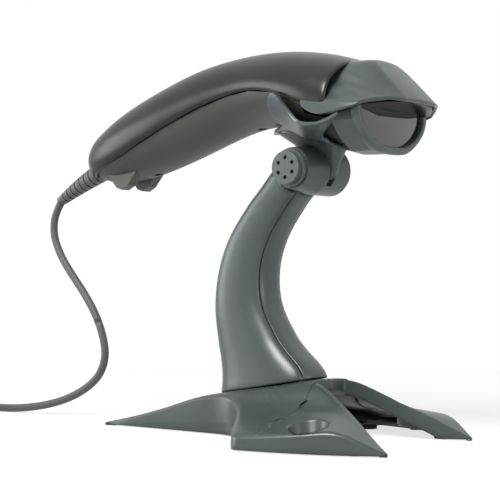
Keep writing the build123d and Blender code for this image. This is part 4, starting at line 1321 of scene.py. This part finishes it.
@dataclass
class Arm:
    """The curved arm: a smooth shell with a narrow cover let into its front, ending under the barrel."""

    squareness: float = 2.9
    cover_angle: float = 30.0
    cover_gap: float = 1.2
    cover_inset: float = 0.15
    wall: float = 2.4
    edge_tuck: float = 0.3
    foot_rings: tuple[tuple[float, float], ...] = ((0.0, 0.7), (0.004, 0.15))
    rows: int = 44
    top: float = 127.0
    bottom: float = 18.0
    foot: tuple[float, float, float] = (-36.0, 18.5, 0.1767)
    pivot: tuple[float, float] = (16.7, 127.9)
    saddle: float = 12.5
    saddle_search: tuple[float, float, int] = (0.6, 1.0, 41)
    levels: Rows = (
        (16.0, -7.0, 28.5, 16.4),
        (22.0, -7.6, 27.0, 15.8),
        (28.0, -9.6, 25.0, 15.2),
        (36.0, -13.6, 21.9, 14.5),
        (44.0, -17.4, 19.7, 14.0),
        (62.0, -23.0, 16.2, 13.3),
        (80.0, -22.4, 14.4, 12.8),
        (96.0, -16.4, 13.8, 12.4),
        (112.0, -4.6, 13.6, 12.0),
        (120.0, 3.2, 13.8, 11.8),
        (128.0, 10.6, 14.2, 11.7),
    )

    def point(self, share: float, angle: float, inset: float) -> Vector:
        """A point of the arm's outside.

        Args:
            share: height, from 0 at the foot to 1 at the top.
            angle: round the section, from the front.
            inset: how far it is drawn in, in millimetres.

        Returns:
            The point, in metres.
        """
        nominal = self.bottom + share * (self.top - self.bottom)
        centre, deep, wide = interpolated(self.levels, nominal)
        power = 2 / self.squareness
        x = centre + (deep - inset) * bent(math.cos(angle), power)
        y = (wide - inset) * bent(math.sin(angle), power)
        start_x, start_z, slope = self.foot
        seam_z = start_z + (x - start_x) * slope
        return mm(x, y, nominal + (seam_z - self.bottom) * (1 - share) ** 2)

    def reach(self, angle: float, inset: float) -> float:
        """How far up a line of the arm goes before it meets the saddle under the barrel.

        Args:
            angle: round the section, from the front.
            inset: how far it is drawn in, in millimetres.

        Returns:
            A share of the height.
        """
        cx, cz = self.pivot
        for share in spread(*self.saddle_search):
            at = self.point(share, angle, inset) / MM
            if math.hypot(at.x - cx, at.z - cz) < self.saddle:
                return share
        return self.saddle_search[1]

    def skin_of(self, first: float, last: float, count: int, inset: float) -> Skin:
        """An open skin between two angles round the arm.

        Args:
            first: the angle that it starts at.
            last: the angle that it ends at.
            count: how many lines it has.
            inset: how far it is drawn in, in millimetres.

        Returns:
            Points and faces.
        """
        angles = spread(first, last, count)
        tops = [self.reach(angle, inset) for angle in angles]
        edges = [self.edge_tuck] + [0.0] * (count - 2) + [self.edge_tuck]
        rings = []
        for share, tuck in list(self.foot_rings) + [(share, 0.0) for share in spread(0.012, 1, self.rows)]:
            rings.append([
                self.point(share * top, angle, inset + tuck + edge)
                for angle, top, edge in zip(angles, tops, edges)
            ])
        return skin(rings, closed=False)

    def build(self) -> None:
        """Makes the shell and its cover."""
        turn = math.radians(self.cover_angle)
        gap = math.radians(self.cover_gap)
        parts = (
            ("arm", "arm_shell", turn, 2 * math.pi - turn, 60, 0.0),
            ("arm_cover", "arm_front_cover", -turn + gap, turn - gap, 24, self.cover_inset),
        )
        for name, node, first, last, count, inset in parts:
            piece = mesh_piece(name, *self.skin_of(first, last, count, inset), "stand_plastic")
            modifier(piece, "SOLIDIFY", thickness=self.wall * MM, offset=-1.0)
            baked(piece)
            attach(piece, "stand")
            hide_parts(node)
        LOG.info("arm: shell and cover")


# ---------------------------------------------------------------- cradle


@dataclass
class Cradle:
    """The cup under the scanner's neck, with its two wings, tongue and tapering stem."""

    handle: Handle
    gap: float = 0.35
    wall: float = 2.9
    columns: int = 44
    rows: int = 30
    ledge: float = 1.3
    ledge_share: float = 0.46
    ledge_run: float = 0.04
    flare_run: float = 0.36
    neck_end: float = 46.0
    clear: float = 12.6
    clear_reach: float = 30.0
    clear_steps: int = 72
    pivot: tuple[float, float] = (16.7, 127.9)
    blade: tuple[float, float] = (10.2, 1.8)
    blade_edge: tuple[float, float] = (0.3, 0.97)
    blade_root: tuple[tuple[float, float], ...] = ((14.5, 6.0), (15.5, 12.5), (-5.0, 12.8))
    stem_power: float = 0.6
    stem_steps: int = 48
    stem_levels: Rows = (
        (148.0, -3.0, 37.0, 13.0), (145.0, 0.5, 38.5, 11.0), (142.0, 5.5, 38.0, 8.6),
        (139.0, 9.5, 36.2, 6.4), (136.0, 12.0, 34.4, 4.6), (132.0, 14.0, 32.4, 3.0),
        (128.0, 15.5, 31.0, 2.2), (122.0, 16.5, 29.6, 2.0),
    )
    flare: Rows = ((0.0, 0.0), (0.22, 0.0), (0.42, 2.6), (0.7, 3.2), (1.0, 2.6))
    rim: Rows = (
        (0.0, 161.2), (0.06, 162.2), (0.12, 161.0), (0.2, 157.6), (0.3, 153.6),
        (0.4, 151.0), (0.47, 150.2), (0.6, 149.4), (0.75, 149.0), (1.0, 151.0),
    )
    rear: Rows = (
        (0.0, 14.6), (0.12, 12.4), (0.28, 11.9), (0.42, 12.8),
        (0.5, 13.0), (0.62, 7.5), (0.8, -1.0), (1.0, -7.0),
    )
    front: Rows = (
        (0.0, 56.0), (0.12, 50.5), (0.25, 44.5), (0.4, 38.8), (0.55, 36.2), (0.75, 36.0), (1.0, 38.5),
    )

    def place(self, along: float, down: float, side: int) -> Vector:
        """A point of the cup's outside.

        Args:
            along: from 0 at the rear edge to 1 at the front edge.
            down: from 0 at the rim to 1 at the keel.
            side: 1 for the left and -1 for the right.

        Returns:
            The point, in metres.
        """
        x_rear, x_front = interpolated(self.rear, down)[0], interpolated(self.front, down)[0]
        x = x_rear + (x_front - x_rear) * along
        middle, tall, half = self.handle.section(min(x, self.neck_end))
        rim = interpolated(self.rim, along)[0]
        top = math.asin(max(-0.95, min(0.95, (rim - middle) / tall)))
        angle = top + (-math.pi / 2 - top) * down
        stepped = min(max((down - self.ledge_share) / self.ledge_run, 0.0), 1.0)
        out = self.gap + self.wall - self.ledge * stepped
        out += interpolated(self.flare, along)[0] * max(1 - down / self.flare_run, 0.0) ** 2
        y = (half + out) * math.cos(angle)
        return mm(x, side * max(y, 0.0), middle + (tall + out) * math.sin(angle))

    def cup(self) -> None:
        """The trough with its wings."""
        downs = spread(0, 1, self.rows)
        across = [(d, -1) for d in downs] + [(d, 1) for d in downs[-2::-1]]
        rings = [[self.place(a, d, side) for d, side in across] for a in spread(0, 1, self.columns)]
        points, faces = skin(rings, closed=False)
        piece = mesh_piece("cup", points, [f[::-1] for f in faces], "stand_plastic")
        modifier(piece, "SOLIDIFY", thickness=(self.wall - self.ledge) * MM, offset=-1.0)
        modifier(piece, "BEVEL", width=0.5 * MM, segments=3, limit_method="ANGLE", angle_limit=0.9)
        baked(piece)
        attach(piece, "cradle")
        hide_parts("cradle_cup")

    def stem(self) -> None:
        """The stem, from a broad root on the cup to the slot in the barrel."""
        rings = []
        for z, x0, x1, wide in self.stem_levels:
            centre, deep = (x0 + x1) / 2, (x1 - x0) / 2
            rings.append([
                mm(
                    centre + deep * bent(math.cos(a), self.stem_power),
                    wide * bent(math.sin(a), self.stem_power), z,
                )
                for a in round_turn(self.stem_steps)
            ])
        piece = mesh_piece("cradle_stem", *skin(rings, closed=True, caps=True), "stand_plastic")
        modifier(piece, "SUBSURF", levels=1, render_levels=1)
        cx, cz = self.pivot
        r = self.clear
        ends = (-self.clear_reach, self.clear_reach)
        turn = round_turn(self.clear_steps)
        carved(piece, [[[mm(cx + r * math.cos(a), y, cz + r * math.sin(a)) for a in turn] for y in ends]])
        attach(piece, "cradle")

    def tongue(self) -> None:
        """The blade that turns in the barrel's slot."""
        cx, cz = self.pivot
        radius, half = self.blade
        edge, drawn_in = self.blade_edge
        angles = [math.radians(degrees) for degrees in range(120, 391, 10)]
        outline = [(radius * math.cos(a), radius * math.sin(a)) for a in angles] + list(self.blade_root)
        rings = []
        for y, scale in ((-half, drawn_in), (-half + edge, 1.0), (half - edge, 1.0), (half, drawn_in)):
            rings.append([mm(cx + x * scale, y, cz + z * scale) for x, z in outline])
        piece = mesh_piece("cradle_blade", *skin(rings, closed=True, caps=True), "stand_plastic")
        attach(piece, "cradle")

    def build(self) -> None:
        """Makes the cup, the stem and the blade."""
        self.cup()
        self.stem()
        self.tongue()
        LOG.info("cradle: cup, stem and blade")


# ---------------------------------------------------------------- studio


@dataclass
class Studio:
    """Pale floor, soft lamps and the camera."""

    camera_place: Point = (0.3847, -0.5043, 0.0777)
    camera_aim: Point = (-0.0222, 0.0, 0.0901)
    lens: float = 93.75
    sensor: float = 36.0
    floor_reach: float = 6.0
    fill: float = 0.2
    middle: Point = (-0.02, 0.0, 0.1)
    lamps: tuple[tuple[str, Point, float, float], ...] = (
        ("key", (0.05, -0.7, 0.85), 0.45, 17.0),
        ("side", (-0.9, -0.5, 0.25), 0.5, 4.0),
        ("front", (0.95, 0.05, 0.3), 0.4, 2.5),
    )

    def floor(self) -> None:
        """A wide plane at the height of the feet."""
        r = self.floor_reach
        corners = [(-r, -r, 0.0), (r, -r, 0.0), (r, r, 0.0), (-r, r, 0.0)]
        mesh = bpy.data.meshes.new("studio_floor")
        mesh.from_pydata(corners, [], [[0, 1, 2, 3]])
        piece = bpy.data.objects.new("studio_floor", mesh)
        bpy.context.scene.collection.objects.link(piece)
        mesh.materials.append(WhiteStudio("studio_white").make())

    def looking(self, thing: bpy.types.Object, place: Point, aim: Point) -> None:
        """Puts a lamp or the camera in the scene, looking at a point.

        Args:
            thing: the lamp or camera.
            place: where it stands.
            aim: where it looks.
        """
        bpy.context.scene.collection.objects.link(thing)
        thing.location = place
        thing.rotation_mode = "QUATERNION"
        thing.rotation_quaternion = (Vector(aim) - Vector(place)).to_track_quat("-Z", "Y")

    def lamp(self, name: str, place: Point, size: float, power: float) -> None:
        """One soft square lamp that looks at the object's middle.

        Args:
            name: the lamp's name.
            place: where it stands.
            size: its side, in metres.
            power: its power, in watts.
        """
        data = bpy.data.lights.new(name, "AREA")
        data.size = size
        data.energy = power
        self.looking(bpy.data.objects.new(name, data), place, self.middle)

    def world(self) -> None:
        """Even light all round, white to the camera and to reflections."""
        t = Tree("studio_world", world=True)
        fill = t.add(Kind.BACKGROUND, {}, {"Color": WHITE, "Strength": self.fill})
        white = t.add(Kind.BACKGROUND, {}, {"Color": WHITE, "Strength": 1.0})
        shown = t.add(Kind.MIX_SHADER, {}, {0: t.backdrop_rays(), 1: fill, 2: white})
        bpy.context.scene.world = t.close(shown, Kind.WORLD_OUTPUT)

    def camera(self) -> None:
        """The camera at the viewing angle."""
        data = bpy.data.cameras.new("camera")
        data.lens = self.lens
        data.sensor_width = self.sensor
        data.clip_start = 0.01
        camera = bpy.data.objects.new("camera", data)
        self.looking(camera, self.camera_place, self.camera_aim)
        bpy.context.scene.camera = camera

    def build(self) -> None:
        """Sets up the studio."""
        bpy.context.scene.view_settings.view_transform = "Standard"
        self.floor()
        self.world()
        self.camera()
        for name, place, size, power in self.lamps:
            self.lamp(name, place, size, power)
        LOG.info("studio: floor, lamps and camera")


# ---------------------------------------------------------------- all of it


def main() -> None:
    """Builds the scene in order."""
    logging.basicConfig(level=logging.INFO, format="%(message)s")
    Studio().build()
    PAINTS.dress_frame()
    LOG.info("finishes: every packed node")
    Cord().build()
    handle = Handle()
    handle.build()
    hood = Hood()
    hood.build()
    Nose(hood).build()
    Base().build()
    Arm().build()
    Cradle(handle).build()


if __name__ == "__main__":
    main()
